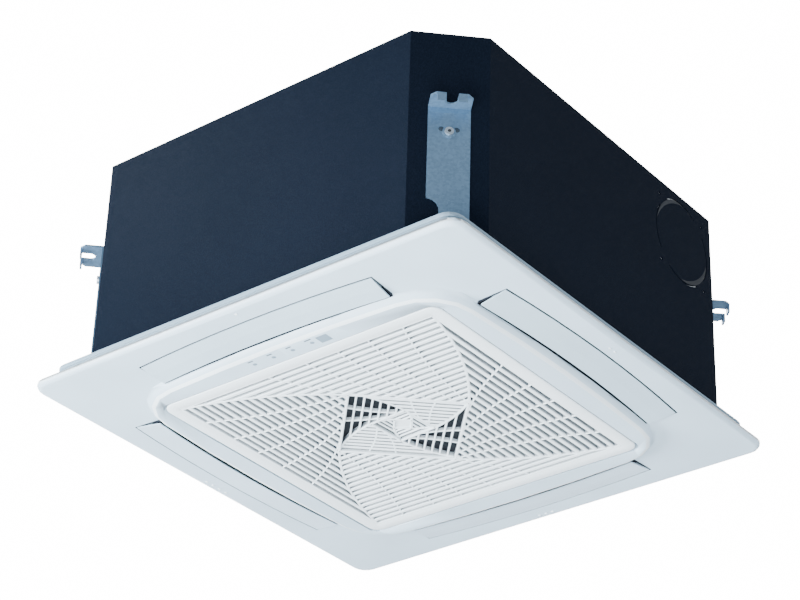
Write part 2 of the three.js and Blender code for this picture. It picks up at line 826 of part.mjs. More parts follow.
// ================================================================ bell mouth and fan
function bellMouth() {
  const low = bellFlangeUnder;
  const top = fanBase + bellOverlap;
  const rise = top - low;
  const swell = bellMouthRadius - throatRadius;
  const curveRise = bellRise * rise;
  const outer = [];
  const inner = [];
  for (let i = 0; i <= 4; i += 1) {
    const angle = (i / 4) * quarter;
    const radius = throatRadius + swell * (1 - Math.sin(angle));
    const share = 1 - Math.cos(angle);
    outer.push([radius, low + curveRise * share]);
    inner.unshift([radius + bellWall, low + bellFlangeThick + (curveRise - bellFlangeThick) * share]);
  }
  return lathe([
    [bellFlangeRadius, low], ...outer, [throatRadius, top], [throatRadius + bellWall, top], ...inner,
    [bellFlangeRadius, low + bellFlangeThick],
  ], fanSides);
}
piece('bell_mouth', bellMouth(), darkPlastic);

// The curved inlet ring, drawn at a depth into its own sheet.
function shroudCurve(depth) {
  const points = [];
  const swell = fanRadius + fanSheet - fanInlet;
  for (let i = 0; i <= 4; i += 1) {
    const angle = (i / 4) * quarter;
    points.push([
      fanInlet + depth + (swell - depth) * (1 - Math.cos(angle)),
      fanBase + (shroudRise - depth) * Math.sin(angle),
    ]);
  }
  return points;
}

function fanWheel() {
  const shroud = lathe([...shroudCurve(0), ...shroudCurve(fanSheet).reverse()], fanSides);
  const hubLow = fanTop - hubHeight;
  const bossRadius = shaftRadius + hubBossWall;
  const plate = lathe([
    [0, hubLow], [hubRadius, hubLow], [hubRadius + hubEdge, hubLow + hubEdgeRise],
    [hubRadius + hubFoot, fanTop - fanSheet], [fanRadius, fanTop - fanSheet], [fanRadius, fanTop],
    [hubRadius + hubFoot - 1, fanTop], [hubRadius + fanSheet, hubLow + hubEndWall],
    [bossRadius, hubLow + hubEndWall], [bossRadius, fanTop], [0, fanTop],
  ], fanSides);
  const bladeOuter = fanRadius - 1;
  const inSheet = shroudCurve(fanSheet / 2);
  const space = lathe([
    [bladeInner - past, fanTop - fanSheet / 2], [bladeInner - past, fanBase + shroudRise / 2],
    ...inSheet.slice(1), [fanRadius + fanSheet, fanTop - fanSheet / 2],
  ], fanSides);
  const blades = [];
  for (let i = 0; i < bladeCount; i += 1) {
    const angle = (i / bladeCount) * 2 * Math.PI;
    const from = [bladeInner * Math.cos(angle), bladeInner * Math.sin(angle)];
    const lean = angle + bladeLean;
    const to = [bladeOuter * Math.cos(lean), bladeOuter * Math.sin(lean)];
    blades.push(prism(strip(arc(from, to, bladeCurve, 4), bladeThick), fanBase, fanTop));
  }
  const set = join(blades).intersect(space);
  const bore = rod(shaftRadius + seatGap, [0, 0, fanBase], [0, 0, fanTop + past], 16);
  return cut(join(shroud, plate, set), bore);
}
piece('fan_wheel', fanWheel(), foamBlack);

piece('fan_shaft', rod(shaftRadius, [0, 0, shaftBase], [0, 0, shaftTop], 16), zinc);

const nutTop = fanTop - hubHeight - seatGap;
const nutBase = nutTop - shaftNutHeight;
piece('shaft_nut', cut(
  rod(shaftNutRadius, [0, 0, nutBase], [0, 0, nutTop], 6),
  rod(shaftRadius + seatGap, [0, 0, nutBase - past], [0, 0, nutTop + past], 16),
), zinc);

function fanMotor() {
  const edge = motorRadius - motorRound;
  const body = lathe([
    [0, motorBase], [motorBossRadius, motorBase], [motorBossRadius + 2, motorBase + motorRound],
    [edge, motorBase + 2 * motorRound], [motorRadius, motorBase + 3 * motorRound],
    [motorRadius, motorTop - motorRound], [edge, motorTop], [0, motorTop],
  ], 28);
  const boreTop = motorBase + motorBoreDepth;
  return cut(body, rod(shaftRadius + seatGap, [0, 0, motorBase - past], [0, 0, boreTop], 16));
}
piece('fan_motor', fanMotor(), motorGrey);

piece('motor_damper', lathe([
  [damperRadius - damperWidth, motorTop + seatGap], [damperRadius, motorTop + seatGap],
  [damperRadius, mountPlateUnder - seatGap], [damperRadius - damperWidth, mountPlateUnder - seatGap],
], 24), rubberBlack);
piece('motor_mount_plate', lathe([
  [0, mountPlateUnder], [mountPlateRadius, mountPlateUnder],
  [mountPlateRadius, mountPlateUnder + mountPlateThick], [0, mountPlateUnder + mountPlateThick],
], 28), zinc);

// ================================================================ heat exchanger
function coilBlock() {
  const outer = roundSquare(coilOuter, coilCorner, 0, 6, 1);
  const inner = roundSquare(coilOuter - coilThick, coilCorner - coilThick, 0, 6, 1);
  const ring = prism(outer, coilBase, coilTop, [inner.reverse()]);
  const corner = box(-coilOuter - past, -coilEnd, coilEnd, coilOuter + past, coilBase - past, coilTop + past);
  return cut(ring, corner);
}
piece('heat_exchanger', coilBlock(), finMetal);

const plateFar = coilEnd + seatGap + coilPlateThick;
const plateOut = coilOuter + coilPlateEdge;
const plateIn = coilOuter - coilThick - coilPlateEdge;
const plateNear = coilEnd + seatGap;
piece('coil_end_plate_1', box(-plateOut, -plateIn, plateNear, plateFar, coilBase, coilTop), zinc);
piece('coil_end_plate_2', box(-plateFar, -plateNear, plateIn, plateOut, coilBase, coilTop), zinc);

const coilMiddle = -(coilOuter - coilThick / 2);
const pipeEnd = -casingHalf - pipeReach;

function refrigerantPipe(radius, place) {
  const z = panBase + place.above;
  const corners = [
    [coilMiddle, plateFar + seatGap, z],
    [coilMiddle, place.along, z],
    [pipeEnd, place.along, z],
  ];
  return tube(radius, bentPath(corners, pipeTurn), 8, 14);
}
piece('gas_pipe', refrigerantPipe(gasPipeRadius, gasPipe), copper);
piece('liquid_pipe', refrigerantPipe(liquidPipeRadius, liquidPipe), copper);

function flareNut(radius, across, place) {
  const at = (x) => [x, place.along, panBase + place.above];
  const body = rod(across / Math.sqrt(3), at(pipeEnd - 1), at(pipeEnd + nutLength), 6);
  return cut(body, rod(radius + seatGap, at(pipeEnd - past), at(pipeEnd + nutLength + past), pinSides));
}
piece('gas_flare_nut', flareNut(gasPipeRadius, gasNutAcross, gasPipe), brass);
piece('liquid_flare_nut', flareNut(liquidPipeRadius, liquidNutAcross, liquidPipe), brass);

function pipePlate() {
  const [y, z] = pipeWindow;
  const outer = -casingHalf - seatGap;
  const half = pipePlateHalf;
  const plate = box(outer - pipePlateThick, outer, y - half, y + half, z - half, z + half);
  return cut(
    plate,
    throughX(gasPipeRadius + seatGap, -1, gasPipe.along, panBase + gasPipe.above, pinSides),
    throughX(liquidPipeRadius + seatGap, -1, liquidPipe.along, panBase + liquidPipe.above, pinSides),
  );
}
piece('pipe_plate', pipePlate(), zinc);

// ================================================================ condensate pump, float and drain
const voluteTop = pumpHeight + pumpVoluteHeight;
const outletPlace = [pumpPlace[0], pumpPlace[1] - pumpOutletBack];
const outletTop = voluteTop + pumpOutletRise;

function drainPump() {
  const motorEnd = voluteTop + pumpMotorHeight;
  const outletLow = pumpHeight + pumpSheet;
  const nozzle = rod(pumpNozzle, [...pumpPlace, sumpBottom + pumpLift], [...pumpPlace, outletLow], pinSides);
  const volute = rod(pumpVolute, [...pumpPlace, pumpHeight], [...pumpPlace, voluteTop], 20);
  const motor = rod(pumpRadius, [...pumpPlace, voluteTop - sink], [...pumpPlace, motorEnd], 20);
  const [x, y] = outletPlace;
  const elbow = box(
    x - pumpOutletRadius, x + pumpOutletRadius, y, pumpPlace[1], outletLow, voluteTop - pumpSheet,
  );
  const outlet = rod(pumpOutletRadius, [x, y, outletLow], [x, y, outletTop], pinSides);
  const armLow = motorEnd - pumpArmWidth;
  const tabFace = -plateFar - seatGap;
  const armNear = coilOuter - pumpArmWidth;
  const arm = box(pumpPlace[0], tabFace, armNear, coilOuter, armLow, armLow + pumpSheet);
  const tab = box(tabFace - pumpSheet, tabFace, armNear, coilOuter, armLow, armLow + pumpTabHeight);
  return join(nozzle, volute, motor, elbow, outlet, arm, tab);
}
piece('drain_pump', drainPump(), darkPlastic);

const portInner = -linerInside + portInside;
function drainPort() {
  const at = (x) => [x, portAlong, portHeight];
  const end = -casingHalf - portReach;
  const seat = -casingHalf - seatGap;
  const stub = rod(portRadius, at(portInner), at(end), 16);
  const flange = rod(portFlange, at(seat), at(seat - portWall), 20);
  const bore = rod(portRadius - portWall, at(portInner + past), at(end - past), 16);
  return cut(join(stub, flange), bore);
}
piece('drain_port', drainPort(), darkPlastic);

function drainHose() {
  const middle = (outletTop + portHeight) / 2;
  const path = new THREE.CatmullRomCurve3([
    new THREE.Vector3(...outletPlace, outletTop + seatGap),
    new THREE.Vector3(...outletPlace, outletTop + hoseStraight),
    new THREE.Vector3(...outletPlace, middle),
    new THREE.Vector3(portInner + hoseStraight, portAlong - 1, portHeight - hoseDip),
    new THREE.Vector3(portInner + hoseRadius, portAlong, portHeight - 1),
    new THREE.Vector3(portInner + seatGap, portAlong, portHeight),
  ]);
  return tube(hoseRadius, path, 8, 16);
}
piece('drain_hose', drainHose(), rubberBlack);

const floatRest = sumpBottom + floatAboveSump;
const stemTop = floatRest + floatHeight + floatTravel + floatStemSpare;

function floatSwitch() {
  const [x, y] = floatPlace;
  const [footX, footY] = footPlace;
  const stopLow = floatRest - floatStopHeight;
  const stem = rod(floatStem, [x, y, stopLow], [x, y, stemTop], pinSides);
  const stop = rod(2 * floatStem, [x, y, stopLow], [x, y, floatRest - seatGap], pinSides);
  const foot = box(
    footX - floatFootHalf, footX + floatFootHalf, footY - floatFootHalf + 1, footY + floatFootHalf - 1,
    panTop + seatGap, panTop + floatArmThick,
  );
  const post = box(
    footX - floatPostHalf, footX + floatPostHalf, footY - floatPostHalf, footY + floatPostHalf,
    panTop + sink, stemTop,
  );
  const arm = prism(strip([floatPlace, footPlace], floatArmWidth), stemTop - floatArmThick, stemTop);
  return join(stem, stop, foot, post, arm);
}
piece('float_switch', floatSwitch(), darkPlastic);

piece('float', lathe([
  [floatStem + floatRunGap, floatRest], [floatRadius, floatRest], [floatRadius, floatRest + floatHeight],
  [floatStem + floatRunGap, floatRest + floatHeight],
], 16), foamWhite, floatPlace);

// ================================================================ electrics
const boxBase = boxTop - boxHeight;
const boardTop = boxTop - boxSheet - boardPostHeight - seatGap;
const boardMiddle = -boxHalfLength / 3;

function controlBox() {
  const shell = box(-boxHalfLength, boxHalfLength, boxNear, boxFar, boxBase, boxTop);
  const inside = boxHalfLength - boxSheet;
  const hollow = box(
    -inside, inside, boxNear + boxSheet, boxFar - boxSheet, boxBase - past, boxTop - boxSheet,
  );
  const posts = [-1, 1].flatMap((a) => [-1, 1].map((b) => {
    const x = boardMiddle + a * (boardLength / 2 - boardPostInset);
    const y = (boxNear + boxFar) / 2 + b * (boxWidth / 2 - boardPostInset);
    return rod(boardPost, [x, y, boardTop + seatGap], [x, y, boxTop - boxSheet / 2], 8);
  }));
  return join(cut(shell, hollow), posts);
}
piece('control_box', controlBox(), zinc);

piece('control_board', box(
  boardMiddle - boardLength / 2, boardMiddle + boardLength / 2,
  boxNear + boardMargin, boxFar - boardMargin,
  boardTop - boardThick, boardTop,
), boardGreen);
const terminalEnd = boxHalfLength - boxSheet - terminalMargin;
const terminalTop = boxTop - boxSheet - seatGap;
piece('terminal_block', box(
  terminalEnd - terminalLength, terminalEnd,
  boxNear + terminalMargin, boxFar - terminalMargin,
  terminalTop - terminalHeight, terminalTop,
), darkPlastic);
const coverTop = boxBase - seatGap;
piece('control_box_cover', box(
  -boxHalfLength, boxHalfLength, boxNear, boxFar, coverTop - boxSheet, coverTop,
), zinc);

function cableGland() {
  const at = (y) => [glandAlong, y, glandHeight];
  const inner = linerInside - 2;
  const outer = casingHalf + glandReach;
  const hexEnd = casingHalf + glandHexLength;
  const thread = rod(glandRadius, at(inner), at(casingHalf + 2 * sink), 16);
  const hex = rod(glandHexAcross / Math.sqrt(3), at(casingHalf + seatGap), at(hexEnd), 6);
  const dome = rod(glandHexAcross / 2 - 2, at(hexEnd - sink), at(outer), 16);
  return cut(join(thread, hex, dome), rod(glandBore, at(inner - past), at(outer + past), pinSides));
}
piece('cable_gland', cableGland(), rubberBlack);

// ================================================================ panel
const catchBase = borderTop + seatGap;
const catchTop = catchBase + catchThick;
const lampBoardHalf = lampBoardDepth / 2;
const receiverOutline = (grow) => {
  const w = receiverWidth / 2 + grow;
  const d = receiverDepth / 2 + grow;
  return rectangle(receiverAlong - w, receiverAlong + w, -lampRow - d, -lampRow + d);
};

// Tools for the grille's two hinge pins, out to the given distance from the centre line.
const hingeTools = (outer) => [-1, 1].map((sign) => rod(
  hingePinRadius + seatGap,
  [sign * (grilleHalf - rimWidth - past), hingeBack, hingeHeight],
  [sign * outer, hingeBack, hingeHeight],
  pinSides,
));
const collarOuter = openingHalf + skirtWall;
const collarTop = skirtHeight - collarBelowSkirt;
const tabTop = collarTop - tabBelowTop;

function panelFrame() {
  const foot = plateauHalf + plateauRoll;
  // The rounded step at a depth into the shell, where its corners are tighter by the given amount.
  const roll = (depth, tighter) => rollShape.map(([across, down, wider]) => [
    foot - plateauRoll * across - depth,
    plateauCorner + wider - tighter,
    plateauBow,
    flangeUnder - plateauDrop * down + depth,
  ]);
  const rings = [
    [panelHalf, panelCorner, 0, 0],
    [panelHalf, panelCorner, 0, -panelEdge],
    [panelHalf - flangeRoundMid, panelCorner - 1, 0, (flangeUnder - panelEdge) / 2 - 1],
    [panelHalf - flangeRound, panelCorner - 3, 0, flangeUnder],
    ...roll(0, 0),
    [plateauHalf, plateauCorner, plateauBow - 1, plateauUnder],
    [openingHalf, openingCorner, 0, plateauUnder],
    [openingHalf, openingCorner, 0, collarTop],
    [collarOuter, openingCorner + skirtWall, 0, collarTop],
    [collarOuter, openingCorner + skirtWall, 0, plateauTop],
    [plateauHalf - 1, plateauCorner - 1, plateauBow - 1, plateauTop],
    ...roll(shellWall, 2).reverse(),
    [skirtHalf - skirtWall, skirtCorner - skirtWall, 0, flangeUnder + shellWall],
    [skirtHalf - skirtWall, skirtCorner - skirtWall, 0, skirtHeight],
    [skirtHalf - gasketNotch, skirtCorner - gasketNotch, 0, skirtHeight],
    [skirtHalf, skirtCorner, 0, skirtHeight - gasketNotch],
    [skirtHalf, skirtCorner, 0, 0],
  ].map(([half, radius, bow, z]) => ringAt(roundSquare(half, radius, bow), z));
  const throatTop = skirtHeight - throatBelowSkirt;
  const throat = prism(outletOutline(throatWall), flangeUnder + sink / 2, throatTop);
  const near = tabPlace - tabHalf;
  const far = tabPlace + tabHalf;
  const tabOutline = [[near, near], [far, near], [far, tabPlace], [tabPlace, far], [near, far]];
  const tab = cut(
    prism(tabOutline, tabTop - tabThick, tabTop),
    rod(
      screwRadius + seatGap,
      [tabPlace, tabPlace, tabTop - past],
      [tabPlace, tabPlace, tabTop + past],
      pinSides,
    ),
  );
  const body = join(loft(rings, false), fourTimes(throat), fourTimes(tab));
  const outlets = fourTimes(prism(outletOutline(0), plateauUnder - past, skirtHeight + past));
  const pinEnd = throatHalfLength + past;
  const pins = fourTimes(rod(
    louvrePin + seatGap, [-pinEnd, -pivotOut, pivotHeight], [pinEnd, -pivotOut, pivotHeight], pinSides,
  ));
  const hinges = hingeTools(collarOuter + past);
  const slack = 2 * seatGap;
  const keepers = [-1, 1].map((sign) => box(
    sign * catchOut - catchWidth / 2 - slack, sign * catchOut + catchWidth / 2 + slack,
    -collarOuter - 1, -openingHalf + 1,
    catchBase - slack, catchTop + slack,
  ));
  const lamps = lampPlaces.map((x) => rod(
    lampRadius + seatGap, [x, -lampRow, plateauUnder - past], [x, -lampRow, plateauTop + 1], pinSides,
  ));
  const receiver = prism(receiverOutline(seatGap), plateauUnder - past, plateauTop + 1);
  return cut(body, outlets, pins, hinges, keepers, lamps, receiver);
}
piece('panel_frame', panelFrame(), panelWhite);

piece('panel_gasket', loft([
  [skirtHalf - gasketNotch, skirtCorner - gasketNotch, gasketBase],
  [skirtHalf + gasketSwell, skirtCorner, gasketBase + gasketNotch],
  [skirtHalf + gasketSwell, skirtCorner, gasketBase + gasketHeight - 1],
  [skirtHalf + gasketSwell - 1, skirtCorner + gasketSwell - 1, gasketBase + gasketHeight],
  [skirtHalf - gasketWidth, skirtCorner - gasketWidth, gasketBase + gasketHeight],
  [skirtHalf - gasketWidth, skirtCorner - gasketWidth, gasketBase],
].map(([half, radius, z]) => ringAt(roundSquare(half, radius, 0, 5, 1), z)), false), panelWhite);

function panelScrew() {
  const seat = tabTop - tabThick - seatGap;
  const at = (z) => [tabPlace, tabPlace, z];
  const head = rod(screwHeadRadius, at(seat - screwHeadHeight), at(seat), 16);
  const shank = rod(screwRadius, at(seat - sink), at(panBase + panelScrewReach), pinSides);
  return join(head, shank);
}
fourTimes(panelScrew()).forEach((screw, k) => piece(`panel_screw_${k + 1}`, screw, zinc));

// ================================================================ louvres and their stepper motors
const pinReach = throatHalfLength - louvreSlant / 2 + throatWall - pinShort;

function louvre() {
  const rings = [];
  const steps = 8;
  for (let i = 0; i <= steps; i += 1) {
    const t = -1 + (2 * i) / steps;
    const bow = louvreBow * (1 - t * t);
    const at = (share, lift) => {
      const out = louvreInner + bow + louvreWidth * share;
      const drop = louvreInnerDrop + (louvreOuterDrop - louvreInnerDrop) * share;
      return [t * (louvreHalfLength - louvreSlant * (1 - share)), -out, -drop + lift];
    };
    const edge = louvreThick * louvreEdgeThick;
    rings.push([
      at(0, 0), at(0.5, -louvreCamber), at(1, 0),
      at(1 - louvreEdgeIn, edge), at(0.5, louvreThick - louvreCamber), at(louvreEdgeIn, edge),
    ]);
  }
  const vane = loft(rings, true);
  const pivotShare = louvreAxisOut / louvreWidth;
  const middle = louvreInnerDrop + (louvreOuterDrop - louvreInnerDrop) * pivotShare;
  const ends = [-1, 1].flatMap((sign) => {
    const inside = sign * (louvreHalfLength - louvreSlant - louvreArm);
    const outside = sign * (louvreHalfLength - louvreSlant);
    const [low, high] = [Math.min(inside, outside), Math.max(inside, outside)];
    return [
      box(
        low, high, -pivotOut - louvreBoss, -pivotOut + louvreBoss,
        louvreThick - louvreRoot - middle, pivotHeight,
      ),
      rod(louvreBoss, [low, -pivotOut, pivotHeight], [high, -pivotOut, pivotHeight], pinSides),
      rod(louvrePin, [inside, -pivotOut, pivotHeight], [sign * pinReach, -pivotOut, pivotHeight], pinSides),
    ];
  });
  return join(vane, ends);
}

function stepper() {
  const face = throatHalfLength + throatWall - stepperSeat;
  const centre = pivotHeight + stepperOffset;
  const at = (x, z) => [x, -pivotOut, z];
  const body = rod(stepperRadius, at(face, centre), at(face + stepperLength, centre), 20);
  const shaftEnd = pinReach + seatGap;
  const shaft = rod(louvrePin, at(shaftEnd, pivotHeight), at(face + sink, pivotHeight), pinSides);
  return join(body, shaft);
}
const sides = ['front', 'right', 'rear', 'left'];
sides.forEach((side, k) => {
  piece(`louvre_${side}`, turned(louvre(), k * quarter), panelWhite);
  piece(`louvre_motor_${side}`, turned(stepper(), k * quarter), motorGrey);
});

// ================================================================ intake grille
// One quarter of one ring of the swirl, on the -Y side: its outline, and the lines that bound it.
function swirlQuarter(half) {
  const start = [-half, -half];
  const reach = Math.hypot(half, half) * swirlScale;
  const heading = -3 * quarter / 2 + swirlTurn;
  const tip = [reach * Math.cos(heading), reach * Math.sin(heading)];
  const rotate = ([x, y]) => [-y, x];
  const curve = arc(start, tip, swirlCurve, swirlSteps);
  const next = curve.map(rotate);
  return { tip, nextTip: rotate(tip), curve, next };
}

function swirlHoles(half, [pitch, face], ribs, low, high) {
  const { tip, nextTip, curve, next } = swirlQuarter(half);
  const region = prism([...next, ...[...curve].reverse()], low, high);
  const slots = [];
  for (let y = -half + swirlWall / 2; y + pitch - face < nextTip[1]; y += pitch) {
    slots.push(rectangle(-half, half, y, y + pitch - face));
  }
  const walls = [strip([...curve, nextTip], swirlWall), strip([...next, [-tip[0], -tip[1]]], swirlWall)];
  const bars = ribs.map(([along, share]) => {
    const end = [tip[0] + (nextTip[0] - tip[0]) * share, tip[1] + (nextTip[1] - tip[1]) * share];
    return strip(arc([along, -half], end, -ribCurve, ribSteps), ribWidth);
  });
  // The tools end at staggered heights, so that no two of their faces meet.
  const open = prism(slots, low + 0.1, high - 0.1).intersect(region);
  return cut(open, [...walls, ...bars].map((outline) => prism(outline, low - 1, high + 1)));
}

const squareOutline = (half) => rectangle(-half, half, -half, half);

function swirl() {
  const parts = [];
  let half = slatHalf;
  swirlLevels.forEach(({ recess, depth, bars, ribs }, level) => {
    const base = grilleFace + slatRise + recess;
    let plate = prism(squareOutline(half + swirlWall / 2), base, base + depth);
    const [low, high] = [base - past, base + depth + past];
    const inner = half * swirlScale;
    for (let k = 0; k < 4 && bars.length; k += 1) {
      plate = cut(plate, turned(swirlHoles(half, bars[k % 2], ribs, low, high), k * quarter));
    }
    if (bars.length) {
      plate = cut(plate, turned(prism(squareOutline(inner - swirlWall / 2), low, high), swirlTurn));
    }
    parts.push(turned(plate, level * swirlTurn));
    half = inner;
  });
  return parts;
}

function grille() {
  const rimIn = grilleHalf - rimWidth;
  const outline = roundSquare(grilleHalf, grilleCorner, 0, 5, 1);
  const block = prism(outline, grilleFace, rimTop, [squareOutline(slatHalf).reverse()]);
  const hollow = prism(roundSquare(rimIn, grilleCorner - rimWidth, 0, 3, 1), borderTop, rimTop + past);
  const hinges = hingeTools(grilleHalf + past);
  const slots = [-1, 1].map((sign) => box(
    sign * catchOut - catchWidth / 2 - seatGap, sign * catchOut + catchWidth / 2 + seatGap,
    -grilleHalf - past, -rimIn + 1,
    borderTop, catchTop + seatGap,
  ));
  return join(cut(block, hollow, hinges, slots), swirl());
}
piece('intake_grille', grille(), slatWhite);

function airFilter() {
  const half = grilleHalf - rimWidth - seatGap;
  const base = rimTop - filterThick;
  const frame = prism(roundSquare(half, grilleCorner - rimWidth - seatGap, 0, 3, 1), base, rimTop);
  const inside = half - filterFrame;
  const bay = (2 * inside - (filterBays - 1) * filterBar) / filterBays;
  const pockets = [];
  for (let i = 0; i < filterBays; i += 1) {
    for (let j = 0; j < filterBays; j += 1) {
      const x = -inside + i * (bay + filterBar);
      const y = -inside + j * (bay + filterBar);
      pockets.push(rectangle(x, x + bay, y, y + bay));
    }
  }
  return cut(frame, prism(pockets, base + filterNet, rimTop + past));
}
piece('air_filter', airFilter(), netGrey);

function grilleCatch(sign) {
  const front = -grilleHalf + seatGap;
  const middle = sign * catchOut;
  const [left, right] = [middle - catchWidth / 2, middle + catchWidth / 2];
  const back = front + catchLength;
  const tongue = box(left, right, front, back, catchBase, catchTop);
  const lip = box(left, right, back - catchLipHeight, back, catchTop - sink / 2, catchTop + catchLipHeight);
  return join(tongue, lip);
}
piece('grille_catch_1', grilleCatch(-1), darkPlastic);
piece('grille_catch_2', grilleCatch(1), darkPlastic);

for (const [name, sign] of [['grille_hinge_pin_1', -1], ['grille_hinge_pin_2', 1]]) {
  const from = grilleHalf - hingePinInGrille;
  const at = (out) => [sign * out, hingeBack, hingeHeight];
  piece(name, rod(hingePinRadius, at(from), at(from + hingePinLength), pinSides), zinc);
}

// ================================================================ indicator lamps and receiver
const guideBase = plateauTop + seatGap;
const guideTop = guideBase + guideThick;

function lightGuide() {
  const half = lampBoardHalf - 2;
  const [left, right] = [lampPlaces[0] - guideEnd, lampPlaces[3] + guideEnd];
  const bar = box(left, right, -lampRow - half, -lampRow + half, guideBase, guideTop);
  const lamps = lampPlaces.map((x) => rod(
    lampRadius, [x, -lampRow, plateauUnder], [x, -lampRow, guideTop - guideThick / 5], pinSides,
  ));
  return join(bar, lamps);
}
piece('led_light_guide', lightGuide(), lensGrey);
piece('receiver_window', prism(receiverOutline(0), plateauUnder, guideTop), lensGrey);
const lampBoardBase = guideTop + seatGap;
piece('display_board', box(
  lampPlaces[0] - guideEnd - 3, receiverAlong + receiverWidth / 2,
  -lampRow - lampBoardHalf, -lampRow + lampBoardHalf,
  lampBoardBase, lampBoardBase + lampBoardThick,
), boardGreen);

export default unit;
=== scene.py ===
# Looks for the compact four-way ceiling cassette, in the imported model's frame: +Z points up, -Y is the side
# with the indicator lamps, and the pipes leave at -X. Shapes are written in millimetres, and the camera, the
# lights, the floor and the textures in metres.
import math

import bmesh
import bpy
from mathutils import Matrix, Vector


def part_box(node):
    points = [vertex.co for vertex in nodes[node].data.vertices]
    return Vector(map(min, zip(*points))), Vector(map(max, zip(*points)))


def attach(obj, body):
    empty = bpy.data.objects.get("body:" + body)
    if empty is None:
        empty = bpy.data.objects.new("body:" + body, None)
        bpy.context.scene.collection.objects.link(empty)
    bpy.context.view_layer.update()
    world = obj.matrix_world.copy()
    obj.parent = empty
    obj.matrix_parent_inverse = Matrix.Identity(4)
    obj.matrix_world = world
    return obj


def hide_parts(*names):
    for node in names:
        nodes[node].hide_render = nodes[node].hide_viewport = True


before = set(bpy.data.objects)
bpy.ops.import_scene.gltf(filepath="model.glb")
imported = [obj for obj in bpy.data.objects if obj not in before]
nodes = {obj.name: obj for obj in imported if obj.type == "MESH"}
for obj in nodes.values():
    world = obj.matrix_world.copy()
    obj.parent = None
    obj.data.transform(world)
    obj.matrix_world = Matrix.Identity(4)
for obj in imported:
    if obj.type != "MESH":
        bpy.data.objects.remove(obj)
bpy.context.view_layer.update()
MM = 0.001
QUARTER = math.pi / 2
EDGES = ("front", "right", "rear", "left")
CORNERS = {"near": -45, "right": 45, "far": 135, "left": -135}      # degrees round from +X


def in_mm(place):
    """A place in metres as millimetres, to a hundredth."""
    return [round(v / MM, 2) for v in place]


def box_mm(node):
    """The lowest and the highest corner of a CAD node at rest, in millimetres."""
    return [in_mm(corner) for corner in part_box(node)]


def new_object(name, data):
    """A new object in the scene that shows a mesh, a camera or a light."""
    item = bpy.data.objects.new(name, data)
    bpy.context.scene.collection.objects.link(item)
    return item


# ---------------------------------------------------------------- camera
# Fitted to the straight edges in the photograph, in degrees and metres. SIDE, RISE and BACK lead from the
# target to the camera along the view's own axes.
VIEW_AZIMUTH, VIEW_ELEVATION, VIEW_ROLL = 38.95, -31.2, 1.83
VIEW_TARGET = Vector((0, 0, 0.0573))
VIEW_SIDE, VIEW_RISE, VIEW_BACK = -0.0055, 0.0862, 2.906
VIEW_DEPTH = 50
FOCAL_LENGTH, SENSOR_WIDTH = 109.4, 36      # millimetres


def view_axes():
    """The view's directions to the right, up and back towards the camera."""
    azimuth, elevation, roll = (math.radians(v) for v in (VIEW_AZIMUTH, VIEW_ELEVATION, VIEW_ROLL))
    back = Vector((math.sin(azimuth) * math.cos(elevation), -math.cos(azimuth) * math.cos(elevation),
                   math.sin(elevation)))
    level = Vector((0, 0, 1)).cross(back).normalized()
    upright = back.cross(level)
    right = level * math.cos(roll) + upright * math.sin(roll)
    up = upright * math.cos(roll) - level * math.sin(roll)
    return right, up, back


def make_camera():
    data = bpy.data.cameras.new("camera")
    data.lens = FOCAL_LENGTH
    data.sensor_width = SENSOR_WIDTH
    data.clip_end = VIEW_DEPTH
    camera = new_object("camera", data)
    right, up, back = view_axes()
    place = VIEW_TARGET + right * VIEW_SIDE + up * VIEW_RISE + back * VIEW_BACK
    turn = Matrix((right, up, back)).transposed().to_4x4()
    camera.matrix_world = Matrix.Translation(place) @ turn
    bpy.context.scene.camera = camera


# ---------------------------------------------------------------- shader parts
def new_material(name, roughness=None, metallic=0.0, specular=0.5):
    material = bpy.data.materials.new(name)
    material.use_nodes = True
    tree = material.node_tree
    shader = tree.nodes["Principled BSDF"]
    shader.inputs["Metallic"].default_value = metallic
    shader.inputs["Specular IOR Level"].default_value = specular
    if roughness is not None:
        shader.inputs["Roughness"].default_value = roughness
    place = tree.nodes.new("ShaderNodeTexCoord").outputs["Object"]
    return material, tree, shader, place


def stretched(tree, place, scale):
    """The place scaled by its own factor along each axis."""
    mapping = tree.nodes.new("ShaderNodeMapping")
    mapping.inputs["Scale"].default_value = scale
    tree.links.new(place, mapping.inputs["Vector"])
    return mapping.outputs["Vector"]


def noise(tree, place, scale, detail, rough=0.5):
    node = tree.nodes.new("ShaderNodeTexNoise")
    node.inputs["Scale"].default_value = scale
    node.inputs["Detail"].default_value = detail
    node.inputs["Roughness"].default_value = rough
    tree.links.new(place, node.inputs["Vector"])
    return node.outputs["Fac"]


def cells(tree, place, scale, output="Distance", feature="F1"):
    node = tree.nodes.new("ShaderNodeTexVoronoi")
    node.feature = feature
    node.inputs["Scale"].default_value = scale
    tree.links.new(place, node.inputs["Vector"])
    return node.outputs[output]


def ramp(tree, value, stops):
    """A colour that follows a value through stops of (value, colour)."""
    node = tree.nodes.new("ShaderNodeValToRGB")
    while len(node.color_ramp.elements) < len(stops):
        node.color_ramp.elements.new(0.5)
    for element, (at, color) in zip(node.color_ramp.elements, stops):
        element.position = at
        element.color = (*color, 1)
    tree.links.new(value, node.inputs["Fac"])
    return node.outputs["Color"]


def span(tree, value, low, high, source=(0.0, 1.0)):
    """A value carried from its source range to the range from low to high."""
    node = tree.nodes.new("ShaderNodeMapRange")
    node.inputs["From Min"].default_value, node.inputs["From Max"].default_value = source
    node.inputs["To Min"].default_value, node.inputs["To Max"].default_value = low, high
    tree.links.new(value, node.inputs["Value"])
    return node.outputs["Result"]


